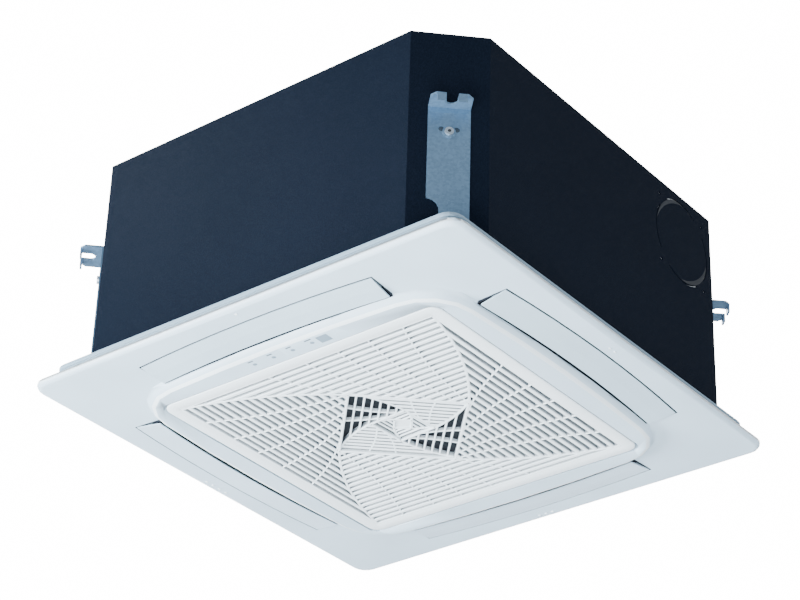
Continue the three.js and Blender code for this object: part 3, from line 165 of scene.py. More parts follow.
def math_node(tree, operation, a, b=0):
    """One operation on numbers or sockets."""
    node = tree.nodes.new("ShaderNodeMath")
    node.operation = operation
    for socket, value in zip(node.inputs, (a, b)):
        if isinstance(value, (int, float)):
            socket.default_value = value
        else:
            tree.links.new(value, socket)
    return node.outputs["Value"]


def weighed(tree, a, share_a, b, share_b):
    """The sum of two values, each times its share."""
    first, second = math_node(tree, "MULTIPLY", a, share_a), math_node(tree, "MULTIPLY", b, share_b)
    return math_node(tree, "ADD", first, second)


def shaded_in_gaps(tree, tone, reach, left):
    """The tone, giving way to a painted shade colour (the last argument) deep in gaps and corners, found by
    ambient occlusion.
    """
    nook = tree.nodes.new("ShaderNodeAmbientOcclusion")
    nook.samples = 6
    nook.inputs["Distance"].default_value = reach
    tree.links.new(tone, nook.inputs["Color"])
    openness = span(tree, nook.outputs["AO"], low=0, high=1, source=(0.12, 0.55))
    mix = tree.nodes.new("ShaderNodeMix")
    mix.data_type = "RGBA"
    tree.links.new(openness, mix.inputs["Factor"])
    mix.inputs["A"].default_value = (*left, 1)
    tree.links.new(tone, mix.inputs["B"])
    return mix.outputs["Result"]


def bump(tree, shader, height, strength, distance):
    node = tree.nodes.new("ShaderNodeBump")
    node.inputs["Strength"].default_value = strength
    node.inputs["Distance"].default_value = distance
    tree.links.new(height, node.inputs["Height"])
    tree.links.new(node.outputs["Normal"], shader.inputs["Normal"])


def shade(color, factor):
    return tuple(min(1.0, c * factor) for c in color)


# ---------------------------------------------------------------- materials
def moulded(name, color, roughness, grain=1400, depth=0.12, drift=0.05, gap_shade=None):
    """Moulded plastic: a fine spark-eroded grain, slow drift in tone, and uneven gloss.
    The last argument, when given, is how far painted shade reaches out of gaps and corners, in metres, and
    its colour."""
    material, tree, shader, place = new_material(name)
    slow = noise(tree, place, scale=9, detail=3)
    tone = ramp(tree, slow, [(0.3, shade(color, 1 - drift)), (0.7, shade(color, 1 + drift))])
    # painted shade darkens the tone deep in gaps and corners
    if gap_shade is not None:
        tone = shaded_in_gaps(tree, tone, *gap_shade)
    tree.links.new(tone, shader.inputs["Base Color"])
    fine = noise(tree, place, scale=grain, detail=2, rough=0.6)
    gloss = span(tree, noise(tree, place, scale=60, detail=3), low=roughness - 0.06, high=roughness + 0.08)
    tree.links.new(gloss, shader.inputs["Roughness"])
    bump(tree, shader, fine, strength=depth, distance=0.0004)
    return material


def coated_steel(name):
    """Matt navy-black pre-coated sheet with a fine felt-like mottle."""
    material, tree, shader, place = new_material(name, specular=0.02)
    grain = noise(tree, place, scale=1100, detail=3, rough=0.7)
    flake = cells(tree, place, scale=800)
    mottle = weighed(tree, grain, 0.7, flake, 0.5)
    cloud = noise(tree, place, scale=5, detail=2)
    both = math_node(tree, "ADD", mottle, math_node(tree, "MULTIPLY", cloud, 0.25))
    tone = ramp(tree, both, [(0.4, (0.0025, 0.0045, 0.0092)),
                             (0.62, (0.0036, 0.0063, 0.0128)),
                             (0.85, (0.0060, 0.0098, 0.0185))])
    tree.links.new(tone, shader.inputs["Base Color"])
    tree.links.new(span(tree, grain, low=0.42, high=0.62), shader.inputs["Roughness"])
    bump(tree, shader, mottle, strength=0.35, distance=0.0006)
    return material


def galvanised(name, color, metallic):
    """Zinc-coated sheet: flat spangles in slightly different greys, and faint rolling marks."""
    material, tree, shader, place = new_material(name, metallic=metallic)
    patch = cells(tree, place, scale=420, output="Color")
    spangle = tree.nodes.new("ShaderNodeSeparateColor")
    tree.links.new(patch, spangle.inputs["Color"])
    rolled = noise(tree, stretched(tree, place, (40, 40, 900)), scale=1.0, detail=2)
    mixed = weighed(tree, spangle.outputs["Red"], 0.6, rolled, 0.4)
    tone = ramp(tree, mixed, [(0.2, shade(color, 0.88)), (0.8, shade(color, 1.1))])
    tree.links.new(tone, shader.inputs["Base Color"])
    tree.links.new(span(tree, mixed, low=0.34, high=0.52), shader.inputs["Roughness"])
    bump(tree, shader, rolled, strength=0.08, distance=0.0003)
    return material


def foam(name, color):
    """Expanded foam: packed beads with darker seams between them."""
    material, tree, shader, place = new_material(name, roughness=0.9, specular=0.2)
    bead = cells(tree, place, scale=260, feature="DISTANCE_TO_EDGE")
    tone = ramp(tree, bead, [(0.0, shade(color, 0.72)), (0.16, color)])
    tree.links.new(tone, shader.inputs["Base Color"])
    bump(tree, shader, bead, strength=0.5, distance=0.0006)
    return material


def finned(name):
    """Bright fins seen edge on, with painted shade in the gaps between them."""
    material, tree, shader, place = new_material(name, metallic=0.85)
    fins = tree.nodes.new("ShaderNodeTexWave")
    fins.wave_type = "BANDS"
    fins.bands_direction = "DIAGONAL"
    fins.inputs["Scale"].default_value = 210
    upright = stretched(tree, place, (1, 1, 0.0001))
    tree.links.new(upright, fins.inputs["Vector"])
    bent = noise(tree, place, scale=35, detail=3)
    # the dark bands are painted shade between the fins
    tone = ramp(tree, fins.outputs["Fac"], [(0.2, (0.12, 0.13, 0.14)), (0.75, (0.66, 0.68, 0.7))])
    tree.links.new(tone, shader.inputs["Base Color"])
    tree.links.new(span(tree, bent, low=0.25, high=0.5), shader.inputs["Roughness"])
    bump(tree, shader, fins.outputs["Fac"], strength=0.6, distance=0.0008)
    return material


def drawn(name, color):
    """Drawn or turned bare metal, tarnished in patches."""
    bright, dull, tarnish = 0.28, 0.48, 0.55
    material, tree, shader, place = new_material(name, metallic=1.0)
    patch = noise(tree, place, scale=45, detail=5, rough=0.6)
    tone = ramp(tree, patch, [(0.35, shade(color, tarnish)), (0.62, color)])
    tree.links.new(tone, shader.inputs["Base Color"])
    tree.links.new(span(tree, patch, low=dull, high=bright), shader.inputs["Roughness"])
    lines = noise(tree, stretched(tree, place, (60, 900, 900)), scale=1.0, detail=2)
    bump(tree, shader, lines, strength=0.06, distance=0.0002)
    return material


def netting(name):
    """A fine woven net: two sets of threads, darkened as painted shade from inside the unit, and darker still
    in the gaps between them.
    """
    pair_pitch = 0.0018                 # from one thread to the next but one
    material, tree, shader, place = new_material(name, roughness=0.75, specular=0.3)
    split = tree.nodes.new("ShaderNodeSeparateXYZ")
    tree.links.new(place, split.inputs["Vector"])
    threads = []
    for axis in ("X", "Y"):
        turns = math_node(tree, "MULTIPLY", split.outputs[axis], 2 * math.pi / pair_pitch)
        threads.append(math_node(tree, "ABSOLUTE", math_node(tree, "SINE", turns)))
    weave = math_node(tree, "MAXIMUM", *threads)
    # the near-black tones are painted shade, darkest in the gaps between threads
    tone = ramp(tree, weave, [(0.55, (0.004, 0.006, 0.009)), (0.9, (0.024, 0.03, 0.038))])
    tree.links.new(tone, shader.inputs["Base Color"])
    bump(tree, shader, weave, strength=0.7, distance=0.0004)
    return material


def circuit(name):
    """A printed board: green mask over slightly raised tracks."""
    material, tree, shader, place = new_material(name, roughness=0.35)
    tracks = tree.nodes.new("ShaderNodeTexBrick")
    tracks.inputs["Scale"].default_value = 90
    tracks.inputs["Mortar Size"].default_value = 0.03
    tracks.inputs["Color1"].default_value = (0.012, 0.09, 0.03, 1)
    tracks.inputs["Color2"].default_value = (0.016, 0.115, 0.04, 1)
    tracks.inputs["Mortar"].default_value = (0.05, 0.2, 0.08, 1)
    tree.links.new(place, tracks.inputs["Vector"])
    tree.links.new(tracks.outputs["Color"], shader.inputs["Base Color"])
    bump(tree, shader, tracks.outputs["Fac"], strength=0.3, distance=0.0003)
    return material


MATERIAL = {
    "casing": coated_steel("casing_coat"),
    "zinc": galvanised("zinc_sheet", (0.165, 0.27, 0.39), metallic=0.75),
    # The last numbers of the plastics for the panel, its skirt, the louvres and the slats set painted shade
    # in gaps and corners: how far it reaches, and its colour.
    "panel": moulded("panel_plastic", (0.55, 0.69, 0.80), roughness=0.4, gap_shade=(0.006, (0.17, 0.25, 0.32))),
    # a darker copy of the panel plastic: painted shade on the panel's side skirt, which the gasket wears as
    # well
    "skirt": moulded("skirt_painted_shade", (0.27, 0.38, 0.47), roughness=0.45, gap_shade=(0.006, (0.12, 0.17, 0.22))),
    # a paler copy of the panel plastic: a painted highlight on the panel's rim and along its roll
    "rim": moulded("rim_painted_highlight", (0.82, 0.91, 0.97), roughness=0.3),
    # a darker copy of the panel plastic: painted shade on the front and right louvres
    "louvre_shade": moulded("louvre_painted_shade", (0.48, 0.615, 0.71), roughness=0.38, gap_shade=(0.002, (0.2, 0.27, 0.33))),
    # near-black foam for the outlet linings, which also paint shade into the gaps round the louvres
    "duct": foam("foam_duct_lining_and_shade", (0.016, 0.02, 0.028)),
    "slat": moulded("slat_plastic", (0.86, 0.94, 0.985), roughness=0.45, grain=1100, depth=0.08, drift=0.02,
                    gap_shade=(0.012, (0.022, 0.04, 0.065))),
    "mark": moulded("mark_plastic", (0.06, 0.09, 0.13), roughness=0.4),
    "lens": moulded("lens_plastic", (0.22, 0.3, 0.37), roughness=0.16, grain=300, depth=0.04, drift=0.08),
    "foam_white": foam("foam_bead_white", (0.72, 0.74, 0.75)),
    "foam_black": foam("foam_bead_black", (0.016, 0.018, 0.021)),
    "dark": moulded("dark_plastic", (0.02, 0.023, 0.027), roughness=0.5, grain=900, depth=0.25, drift=0.15),
    "fan": moulded("fan_plastic", (0.028, 0.032, 0.038), roughness=0.45, grain=700, depth=0.2, drift=0.12),
    "net": netting("filter_net"),
    "screw": galvanised("zinc_screw", (0.5, 0.57, 0.63), metallic=0.9),
    "motor": galvanised("motor_paint", (0.26, 0.28, 0.30), metallic=0.5),
    "fins": finned("coil_fins"),
    "copper": drawn("copper_tube", (0.72, 0.29, 0.14)),
    "brass": drawn("brass_nut", (0.72, 0.52, 0.2)),
    "board": circuit("board_green"),
    "rubber": moulded("rubber_black", (0.012, 0.012, 0.013), roughness=0.75, grain=500, depth=0.4, drift=0.2),
    "casing_edge": moulded("casing_edge_coat", (0.0045, 0.0075, 0.0125), roughness=0.6, grain=600, depth=0.2,
                           drift=0.2),
    # a darker copy of the zinc: painted shade on the brackets' dimples
    "pressed": galvanised("zinc_dimple_shade", (0.05, 0.075, 0.1), metallic=0.6),
}

# The CAD nodes that wear each finish.
DRESS = {
    "casing": ["casing_shell", "top_plate"],
    "zinc": ["fan_shaft", "shaft_nut", "motor_mount_plate", "coil_end_plate_1", "coil_end_plate_2",
             "pipe_plate", "control_box", "control_box_cover", "grille_hinge_pin_1", "grille_hinge_pin_2",
             *(f"hanger_bracket_{corner}" for corner in CORNERS),
             *(f"panel_screw_{k}" for k in (1, 2, 3, 4))],
    "screw": [f"bracket_screw_{corner}" for corner in CORNERS],
    "motor": ["fan_motor", *(f"louvre_motor_{edge}" for edge in EDGES)],
    "foam_white": ["insulation_liner", "float"],
    "foam_black": ["drain_pan"],
    "dark": ["bell_mouth", "drain_pump", "drain_port", "float_switch", "terminal_block", "grille_catch_1",
             "grille_catch_2"],
    "rubber": ["motor_damper", "drain_hose", "cable_gland"],
    "fan": ["fan_wheel"],
    "fins": ["heat_exchanger"],
    "copper": ["gas_pipe", "liquid_pipe"],
    "brass": ["gas_flare_nut", "liquid_flare_nut"],
    "board": ["control_board", "display_board"],
    "panel": ["panel_frame", "louvre_rear", "louvre_left"],
    "skirt": ["panel_gasket"],
    # the front and right louvres wear painted shade; the rear and left ones the panel's own plastic
    "louvre_shade": ["louvre_front", "louvre_right"],
    "slat": ["intake_grille"],
    "net": ["air_filter"],
    "lens": ["led_light_guide", "receiver_window"],
}


def dress_nodes():
    for finish, dressed in DRESS.items():
        for node in dressed:
            slots = nodes[node].data.materials
            slots.clear()
            slots.append(MATERIAL[finish])


# ---------------------------------------------------------------- mesh helpers
CREASE = math.radians(40)           # new pieces are shaded smooth up to this angle
PANEL_SMOOTH, MOUTH_SMOOTH, PIPE_SMOOTH = 22, 30, 35        # the same for copies of nodes, in degrees
MERGE = 1e-6                        # metres between points that are one and the same


def mesh_data(name, points, faces):
    """Mesh data from millimetre points."""
    data = bpy.data.meshes.new(name)
    data.from_pydata([Vector(p) * MM for p in points], [], faces)
    return data


class Mesh:
    """Points and faces of one piece, gathered from many small closed forms."""

    def __init__(self):
        self.points, self.faces = [], []

    def loft(self, rings, closed=False):
        """Skins rings of points; the ends are capped unless the last ring meets the first."""
        base, count = len(self.points), len(rings[0])
        for ring in rings:
            self.points.extend(tuple(p) for p in ring)
        spans = len(rings) if closed else len(rings) - 1
        for r in range(spans):
            here, there = base + r * count, base + (r + 1) % len(rings) * count
            for i in range(count):
                j = (i + 1) % count
                self.faces.append((here + i, here + j, there + j, there + i))
        if not closed:
            last = base + (len(rings) - 1) * count
            self.faces.append(tuple(base + i for i in reversed(range(count))))
            self.faces.append(tuple(last + i for i in range(count)))
        return self

    def add(self, name, finish, body, slot):
        """The gathered forms as a new piece with one finish, riding on a body."""
        data = mesh_data(name, self.points, self.faces)
        data.validate()
        data.update()
        piece = new_object(name, data)
        data.materials.append(MATERIAL[finish])
        data.set_sharp_from_angle(angle=CREASE)
        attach(piece, body)
        return piece


def cut_away(piece, cutter):
    """Cuts the cutter's forms out of a piece and keeps only the result."""
    tool = new_object("cutter", mesh_data("cutter", cutter.points, cutter.faces))
    cut = piece.modifiers.new("cut", "BOOLEAN")
    cut.operation, cut.solver, cut.object = "DIFFERENCE", "EXACT", tool
    bpy.context.view_layer.update()
    result = bpy.data.meshes.new_from_object(piece.evaluated_get(bpy.context.evaluated_depsgraph_get()))
    piece.modifiers.remove(cut)
    piece.data = result
    bpy.data.objects.remove(tool)


def softened(name, node, finishes, body, angle):
    """A copy of a node's form that is shaded smooth up to an angle in degrees, to stand for that node.
    All of it wears the first finish, and the others wait in its slots."""
    form = nodes[node].data.copy()
    form.name = name
    work = bmesh.new()
    work.from_mesh(form)
    bmesh.ops.remove_doubles(work, verts=work.verts, dist=MERGE)
    work.to_mesh(form)
    work.free()
    piece = new_object(name, form)
    form.materials.clear()
    for finish in finishes:
        form.materials.append(MATERIAL[finish])
    for face in form.polygons:
        face.material_index = 0
        face.use_smooth = True
    form.set_sharp_from_angle(angle=math.radians(angle))
    even = piece.modifiers.new("even_normals", "WEIGHTED_NORMAL")
    even.keep_sharp = True
    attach(piece, body)
    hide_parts(node)
    return piece


def spin(point, angle):
    """A point turned about the Z axis."""
    x, y = point[0], point[1]
    c, s = math.cos(angle), math.sin(angle)
    return (x * c - y * s, x * s + y * c, *point[2:])


def round_square(half, radius, steps=6):
    """Outline of a square with rounded corners."""
    straight = half - radius
    side = [(-straight, -half)]
    for i in range(steps):
        turn = i / steps * QUARTER
        side.append((straight + radius * math.sin(turn), -straight - radius * math.cos(turn)))
    return [spin(p, k * QUARTER) for k in range(4) for p in side]


def arc(p, q, turn, steps):
    """Points of an arc from p to q that turns by that angle on the way."""
    chord = math.hypot(q[0] - p[0], q[1] - p[1])
    radius = chord / (2 * math.sin(turn / 2))
    heading = math.atan2(q[1] - p[1], q[0] - p[0]) - turn / 2
    cx, cy = p[0] - radius * math.sin(heading), p[1] + radius * math.cos(heading)
    angles = (heading + turn * i / steps for i in range(steps + 1))
    return [(cx + radius * math.sin(a), cy - radius * math.cos(a)) for a in angles]


def at_height(outline, z):
    return [(x, y, z) for x, y in outline]


# ---------------------------------------------------------------- intake grille
GRILLE_LOW, GRILLE_HIGH = box_mm("intake_grille")
GRILLE_HALF, GRILLE_FACE, RIM_TOP = GRILLE_HIGH[0], GRILLE_LOW[2], GRILLE_HIGH[2]
GRILLE_CORNER, RIM_WIDTH, BORDER_TOP = 16.0, 8.0, -15.5
OUTER_EASE = ((0.0, 1.2), (0.5, 0.35), (1.4, 0.0))                      # in from the side, up from the face
INNER_EASE = ((2.2, 2.6, 0.0), (1.0, 1.6, 0.5), (0.6, 1.2, 1.4))        # out from the slats, corner, up

# The swirl is three nested squares of slats, each turned and shrunk from the one round it. Walls run from
# each square's corners to the next one's. Beside that, each level has how far its face lies back and its
# depth, the pitch and the face of its slats in its two kinds of quarter, and its cross ribs, as a start on
# the outer edge and a share of the inner edge. Slats and bars have eased front edges, which a thin one has
# smaller.
SLAT_HALF, SLAT_RISE = 184.5, 0.5
SWIRL_SCALE, SWIRL_TURN = 0.381, math.radians(43.3)
SWIRL_WALL, WALL_CURVE, WALL_STEPS = 3.2, math.radians(28), 12
RIB_WIDTH, RIB_CURVE, RIB_STEPS = 2.0, math.radians(20), 8
LEVELS = [
    (0.0, 7.3, ((10.4, 5.5), (10.4, 5.5)), ((143, 1.0), (93, 0.9), (49, 0.7), (3, 0.5), (-53, 0.3))),
    (2.5, 6.0, ((8.0, 4.3), (9.8, 2.4)), ((34, 0.8), (2, 0.5))),
    (4.8, 5.0, ((6.2, 3.2), (6.2, 3.2)), ()),
]
WALL_PROUD, EDGE_PROUD = 0.15, 0.1      # in front of the slats' faces
RIB_BACK, RIB_THINNER = 0.25, 1.2       # behind the slats' faces, and less deep than they are
LEAST_SLAT = 1                          # a thinner one is left out at a quarter's tip
SLAT_EASE, SLAT_EASE_SHARE, SLAT_DRAFT_SHARE = 0.8, 0.25, 0.12          # shares of the slat's face
BAR_EASE, BAR_EASE_SHARE = 0.6, 0.28    # a share of the bar's width
HUB_BACK, HUB_DEPTH, HUB_CORNER, HUB_STEPS = 6.0, 4.2, 1.5, 3


def crossing(line, y):
    """Where a line of points passes the height y, or the end nearest to it."""
    for (x0, y0), (x1, y1) in zip(line, line[1:]):
        if min(y0, y1) <= y <= max(y0, y1) and y0 != y1:
            return x0 + (x1 - x0) * (y - y0) / (y1 - y0)
    return min(line, key=lambda p: abs(p[1] - y))[0]


def slat_profile(y0, y1, low, depth):
    """Cross-section of one slat: a face with eased edges, narrowing a little to its back."""
    ease = min(SLAT_EASE, (y1 - y0) * SLAT_EASE_SHARE)
    draft = (y1 - y0) * SLAT_DRAFT_SHARE
    return [(y0 + ease, low), (y1 - ease, low), (y1, low + ease), (y1 - draft, low + depth),
            (y0 + draft, low + depth), (y0, low + ease)]


def bar_along(mesh, line, width, low, depth, angle):
    """A bar of even width with eased lower edges that follows a line of points."""
    ease = min(BAR_EASE, width * BAR_EASE_SHARE)
    half, high = width / 2, low + depth
    section = [(-half + ease, low), (half - ease, low), (half, low + ease), (half, high), (-half, high),
               (-half, low + ease)]
    rings = []
    for i, p in enumerate(line):
        a, b = line[max(i - 1, 0)], line[min(i + 1, len(line) - 1)]
        length = math.hypot(b[0] - a[0], b[1] - a[1])
        nx, ny = -(b[1] - a[1]) / length, (b[0] - a[0]) / length
        rings.append([spin((p[0] + nx * s, p[1] + ny * s, z), angle) for s, z in section])
    mesh.loft(rings)


def fill_quarter(mesh, edge_y, walls, bars, low, depth, angle):
    """Straight slats across one quarter of a level, from its outer edge to its tip, cut to its two walls."""
    pitch, face = bars
    tip_y = walls[1][-1][1]
    y = edge_y + SWIRL_WALL / 2 + pitch - face
    while y < tip_y - LEAST_SLAT:
        profile = slat_profile(y, min(y + face, tip_y), low, depth)
        ends = []
        for wall in walls:
            ends.append([spin((crossing(wall, min(max(py, edge_y), tip_y)), py, pz), angle)
                         for py, pz in profile])
        mesh.loft(ends)
        y += pitch


def swirl_level(mesh, half, level, angle):
    """One square of the swirl: its four quarters of slats, with walls, outer edges and ribs."""
    recess, depth, bars, ribs = level
    low = GRILLE_FACE + SLAT_RISE + recess
    reach = math.hypot(half, half) * SWIRL_SCALE
    heading = -3 * QUARTER / 2 + SWIRL_TURN         # from the lower left corner, turned
    tip = (reach * math.cos(heading), reach * math.sin(heading))
    curve = arc((-half, -half), tip, WALL_CURVE, WALL_STEPS)
    next_curve = [(-y, x) for x, y in curve]
    next_tip = next_curve[-1]
    wall = [*curve, next_tip]
    for k in range(4):
        turn = angle + k * QUARTER
        fill_quarter(mesh, -half, (wall, next_curve), bars[k % 2], low, depth, turn)
        bar_along(mesh, wall, SWIRL_WALL, low - WALL_PROUD, depth + WALL_PROUD, turn)
        bar_along(mesh, [(-half, -half), (half, -half)], SWIRL_WALL, low - EDGE_PROUD, depth, turn)
        for along, share in ribs:
            end = (tip[0] + (next_tip[0] - tip[0]) * share, tip[1] + (next_tip[1] - tip[1]) * share)
            line = arc((along, -half), end, -RIB_CURVE, RIB_STEPS)
            bar_along(mesh, line, RIB_WIDTH, low + RIB_BACK, depth - RIB_THINNER, turn)


def make_swirl():
    """All the slats, which stand for the intake grille together with its border."""
    swirl = Mesh()
    half, angle = SLAT_HALF, 0.0
    for level in LEVELS:
        swirl_level(swirl, half, level, angle)
        half *= SWIRL_SCALE
        angle += SWIRL_TURN
    low = GRILLE_FACE + SLAT_RISE + HUB_BACK
    hub = [spin(p, angle) for p in round_square(half + SWIRL_WALL / 2, HUB_CORNER, HUB_STEPS)]
    swirl.loft([at_height(hub, z) for z in (low, low + HUB_DEPTH)])
    whole = swirl.add("swirl_slats", "slat", "grille", "slat_white")
    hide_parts("intake_grille")


WINDOW_PLAY, WINDOW_TOP = 0.3, -12.3
CUT_PAST, CUT_BELOW = 1, 0.05           # how far the cut goes past the wall and below the border's top


def catch_windows():
    """The forms to cut from the border, where its front wall lets the two catches out."""
    (low_x, _, _), (high_x, _, _) = box_mm("grille_catch_2")
    middle, half = (low_x + high_x) / 2, (high_x - low_x) / 2 + WINDOW_PLAY
    front, back = -GRILLE_HALF - CUT_PAST, -GRILLE_HALF + RIM_WIDTH + CUT_PAST
    windows = Mesh()
    for side in (-1, 1):
        left, right = side * middle - half, side * middle + half
        outline = [(left, front), (right, front), (right, back), (left, back)]
        windows.loft([at_height(outline, z) for z in (BORDER_TOP - CUT_BELOW, WINDOW_TOP)])
    return windows


def make_border():
    """The grille's flat border with eased edges, and the rim that stands up behind it."""
    inner, inner_corner = GRILLE_HALF - RIM_WIDTH, GRILLE_CORNER - RIM_WIDTH
    slats_out, slats_corner, _ = INNER_EASE[-1]
    rings = [
        (GRILLE_HALF, GRILLE_CORNER, RIM_TOP),
        *((GRILLE_HALF - back, GRILLE_CORNER - back, GRILLE_FACE + up) for back, up in OUTER_EASE),
        *((SLAT_HALF + out, corner, GRILLE_FACE + up) for out, corner, up in INNER_EASE),
        (SLAT_HALF + slats_out, slats_corner, BORDER_TOP),
        (inner, inner_corner, BORDER_TOP),
        (inner, inner_corner, RIM_TOP),
    ]
    border = Mesh().loft([at_height(round_square(half, corner), z) for half, corner, z in rings], closed=True)
    cut_away(border.add("grille_border", "slat", "grille", "slat_white"), catch_windows())


# ---------------------------------------------------------------- casing details
SEAT = 0.02                             # how far thin details stand off the sheet that they lie on
CASING_HALF = box_mm("casing_shell")[1][0]
KNOCK_Y, KNOCK_Z, KNOCK_RADIUS = 163.0, 217.0, 56.0
RIDGES = ((128, 42, 5.0), (-52, 44, 6.0))       # middle and half length in degrees, and greatest width
RIDGE_RISE, RIDGE_INSET, RIDGE_STEPS = 0.9, 1.4, 14
RIDGE_LEAST_WIDTH, RIDGE_LEAST_RISE = 0.25, 0.05
RIDGE_SECTION = ((0.0, 0.0), (0.0, 0.5), (0.2, 1.0), (0.75, 0.45), (1.0, 0.0))      # shares of width and rise


def make_crescents():
    """The two pressed ridges just inside the duct knock-out's slits, widest in the middle of their arcs."""
    outer = KNOCK_RADIUS - RIDGE_INSET
    mesh = Mesh()
    for middle, reach, greatest in RIDGES:
        rings = []
        for i in range(RIDGE_STEPS + 1):
            t = -1 + 2 * i / RIDGE_STEPS
            angle = math.radians(middle + t * reach)
            width = max(RIDGE_LEAST_WIDTH, greatest * (1 - t * t))
            rise = max(RIDGE_LEAST_RISE, RIDGE_RISE * (1 - t * t))
            section = [(outer - width * across, rise * out) for across, out in RIDGE_SECTION]
            rings.append([(CASING_HALF + out + SEAT, KNOCK_Y + r * math.cos(angle),
                           KNOCK_Z + r * math.sin(angle)) for r, out in section])
        mesh.loft(rings)
    mesh.add("knockout_ridges", "casing_edge", "casing", "casing_black")


CHAMFER_OUT, BRACKET_SHEET = 369.48, 2.3        # the chamfer from the middle, and the sheet on it
LUG_TOP = box_mm("hanger_bracket_near")[1][2]
SCREW_BELOW, SCREW_HEAD = 34, 3.32              # below the lug's top, and the head's stand-out
# Turned forms on the bracket, as pairs of radius and distance out.
WASHER = ((7.6, SEAT), (7.6, 0.5), (7.0, 0.7), (0.01, 0.7))
DIMPLE = ((3.3, SEAT), (3.1, 0.12), (0.01, 0.16))
SOCKET = ((2.1, 0.0), (2.1, 0.06), (0.01, 0.06))
DIMPLE_ASIDE, DIMPLE_ABOVE, DIMPLE_SIDES, SOCKET_SIDES = 8.6, 3.5, 14, 6
# The ridge below the bend, as pairs of distance out and distance up.
BEND_RIDGE = ((0.0, 0.0), (0.12, 0.5), (0.18, 1.0), (0.12, 1.5), (0.0, 2.0))
BEND_HALF, BEND_BELOW = 23.0, 7.5


def turned_form(mesh, place, angle, profile, sides=20):
    """A form turned about a line that stands out from the place, by its pairs of radius and distance out."""
    x, y, z = place
    turns = [2 * math.pi * i / sides for i in range(sides)]
    rings = []
    for radius, out in profile:
        circle = [(x + out, y + radius * math.cos(a), z + radius * math.sin(a)) for a in turns]
        rings.append([spin(p, angle) for p in circle])
    mesh.loft(rings)


def make_bracket_details():
    """On each hanger bracket: a washer under the screw, a flat dark hexagon on its head as painted shade for
    its socket, two pressed dimples beside it in painted shade, and a faint ridge below the bend."""
    face, screw_z = CHAMFER_OUT + BRACKET_SHEET, LUG_TOP - SCREW_BELOW
    bend_z = LUG_TOP - BRACKET_SHEET - BEND_BELOW
    zinc_bits, socket_shade_bits, pressed_bits = Mesh(), Mesh(), Mesh()
    for degrees in CORNERS.values():
        turn = math.radians(degrees)
        turned_form(zinc_bits, (face, 0, screw_z), turn, WASHER)
        for side in (-1, 1):
            place = (face, side * DIMPLE_ASIDE, screw_z + DIMPLE_ABOVE)
            # the dimples wear painted shade
            turned_form(pressed_bits, place, turn, DIMPLE, DIMPLE_SIDES)
        # a flat dark hexagon on the screw head: painted shade for the socket's hollow
        turned_form(socket_shade_bits, (face + SCREW_HEAD, 0, screw_z), turn, SOCKET, SOCKET_SIDES)
        zinc_bits.loft([[spin((face + SEAT + out, y, bend_z + up), turn) for out, up in BEND_RIDGE]
                        for y in (-BEND_HALF, BEND_HALF)])
    zinc_bits.add("bracket_washers", "zinc", "casing", "zinc")
    pressed_bits.add("bracket_dimples", "pressed", "casing", "zinc")
    socket_shade_bits.add("bracket_screw_socket_shade", "dark", "casing", "zinc")


# ---------------------------------------------------------------- panel details
# Where the panel cover's finishes change: FROM is a distance from the middle, LOW, HIGH and TOP are heights,
# and FACING is the upward share of a face's normal, for the rim the least and for the roll both limits. The
# rim and the roll band wear a painted highlight, and the skirt painted shade.
RIM_FROM, RIM_FACING = 306.5, -0.45
SKIRT_FROM, FLANGE_TOP = 285.0, 0.5
ROLL_FROM, ROLL_LOW, ROLL_HIGH, ROLL_FACING = 180.0, -18.9, -16.4, (-0.995, -0.7)


def make_panel_cover():
    """The panel frame with soft shading over its rolls, a painted highlight on its rounded rim and raised
    edge, and painted shade on its skirt."""
    finishes = ("panel", "rim", "skirt")
    cover = softened("panel_cover", "panel_frame", finishes, "casing", PANEL_SMOOTH)
    for face in cover.data.polygons:
        x, y, z = (v / MM for v in face.center)
        far = max(abs(x), abs(y))
        upward = face.normal.z
        # the rim and the roll band wear the painted highlight
        if far > RIM_FROM and upward > RIM_FACING:
            face.material_index = finishes.index("rim")
        # the skirt's faces wear painted shade
        elif z > FLANGE_TOP and far > SKIRT_FROM:
            face.material_index = finishes.index("skirt")
        elif ROLL_LOW < z < ROLL_HIGH and far > ROLL_FROM and ROLL_FACING[0] < upward < ROLL_FACING[1]:
            face.material_index = finishes.index("rim")


# The front air outlet in the panel: how far its two long sides lie from the middle, how far they bow out,
# half its length, and how much shorter the inner side is at each end.
OUTLET_IN, OUTLET_OUT, INNER_BOW, OUTER_BOW = 232.0, 274.0, 6.0, 8.0
OUTLET_END, OUTLET_SLANT, OUTLET_STEPS = 170.5, 3.0, 8
LINING_FRONT, LINING_BACK = 0.1, 0.7            # the lining's two faces, from the outlet's wall
LINING_TOP, LINING_INNER_LOW, LINING_OUTER_LOW = 16.0, -10.8, -7.6


def outlet_outline(inset):
    """The outline of the front air outlet, drawn in by that much."""
    inner, outer, end = OUTLET_IN + inset, OUTLET_OUT - inset, OUTLET_END - inset
    top, bottom = [], []
    for i in range(OUTLET_STEPS + 1):
        t = -1 + 2 * i / OUTLET_STEPS
        top.append((t * end, -outer - OUTER_BOW * (1 - t * t)))
        bottom.insert(0, (t * (end - OUTLET_SLANT), -inner - INNER_BOW * (1 - t * t)))
    return top + bottom


def lining_low(point):
    """Lower edge of the lining, which follows the panel: deeper on the side of the raised middle."""
    return LINING_INNER_LOW if -point[1] < (OUTLET_IN + OUTLET_OUT) / 2 else LINING_OUTER_LOW


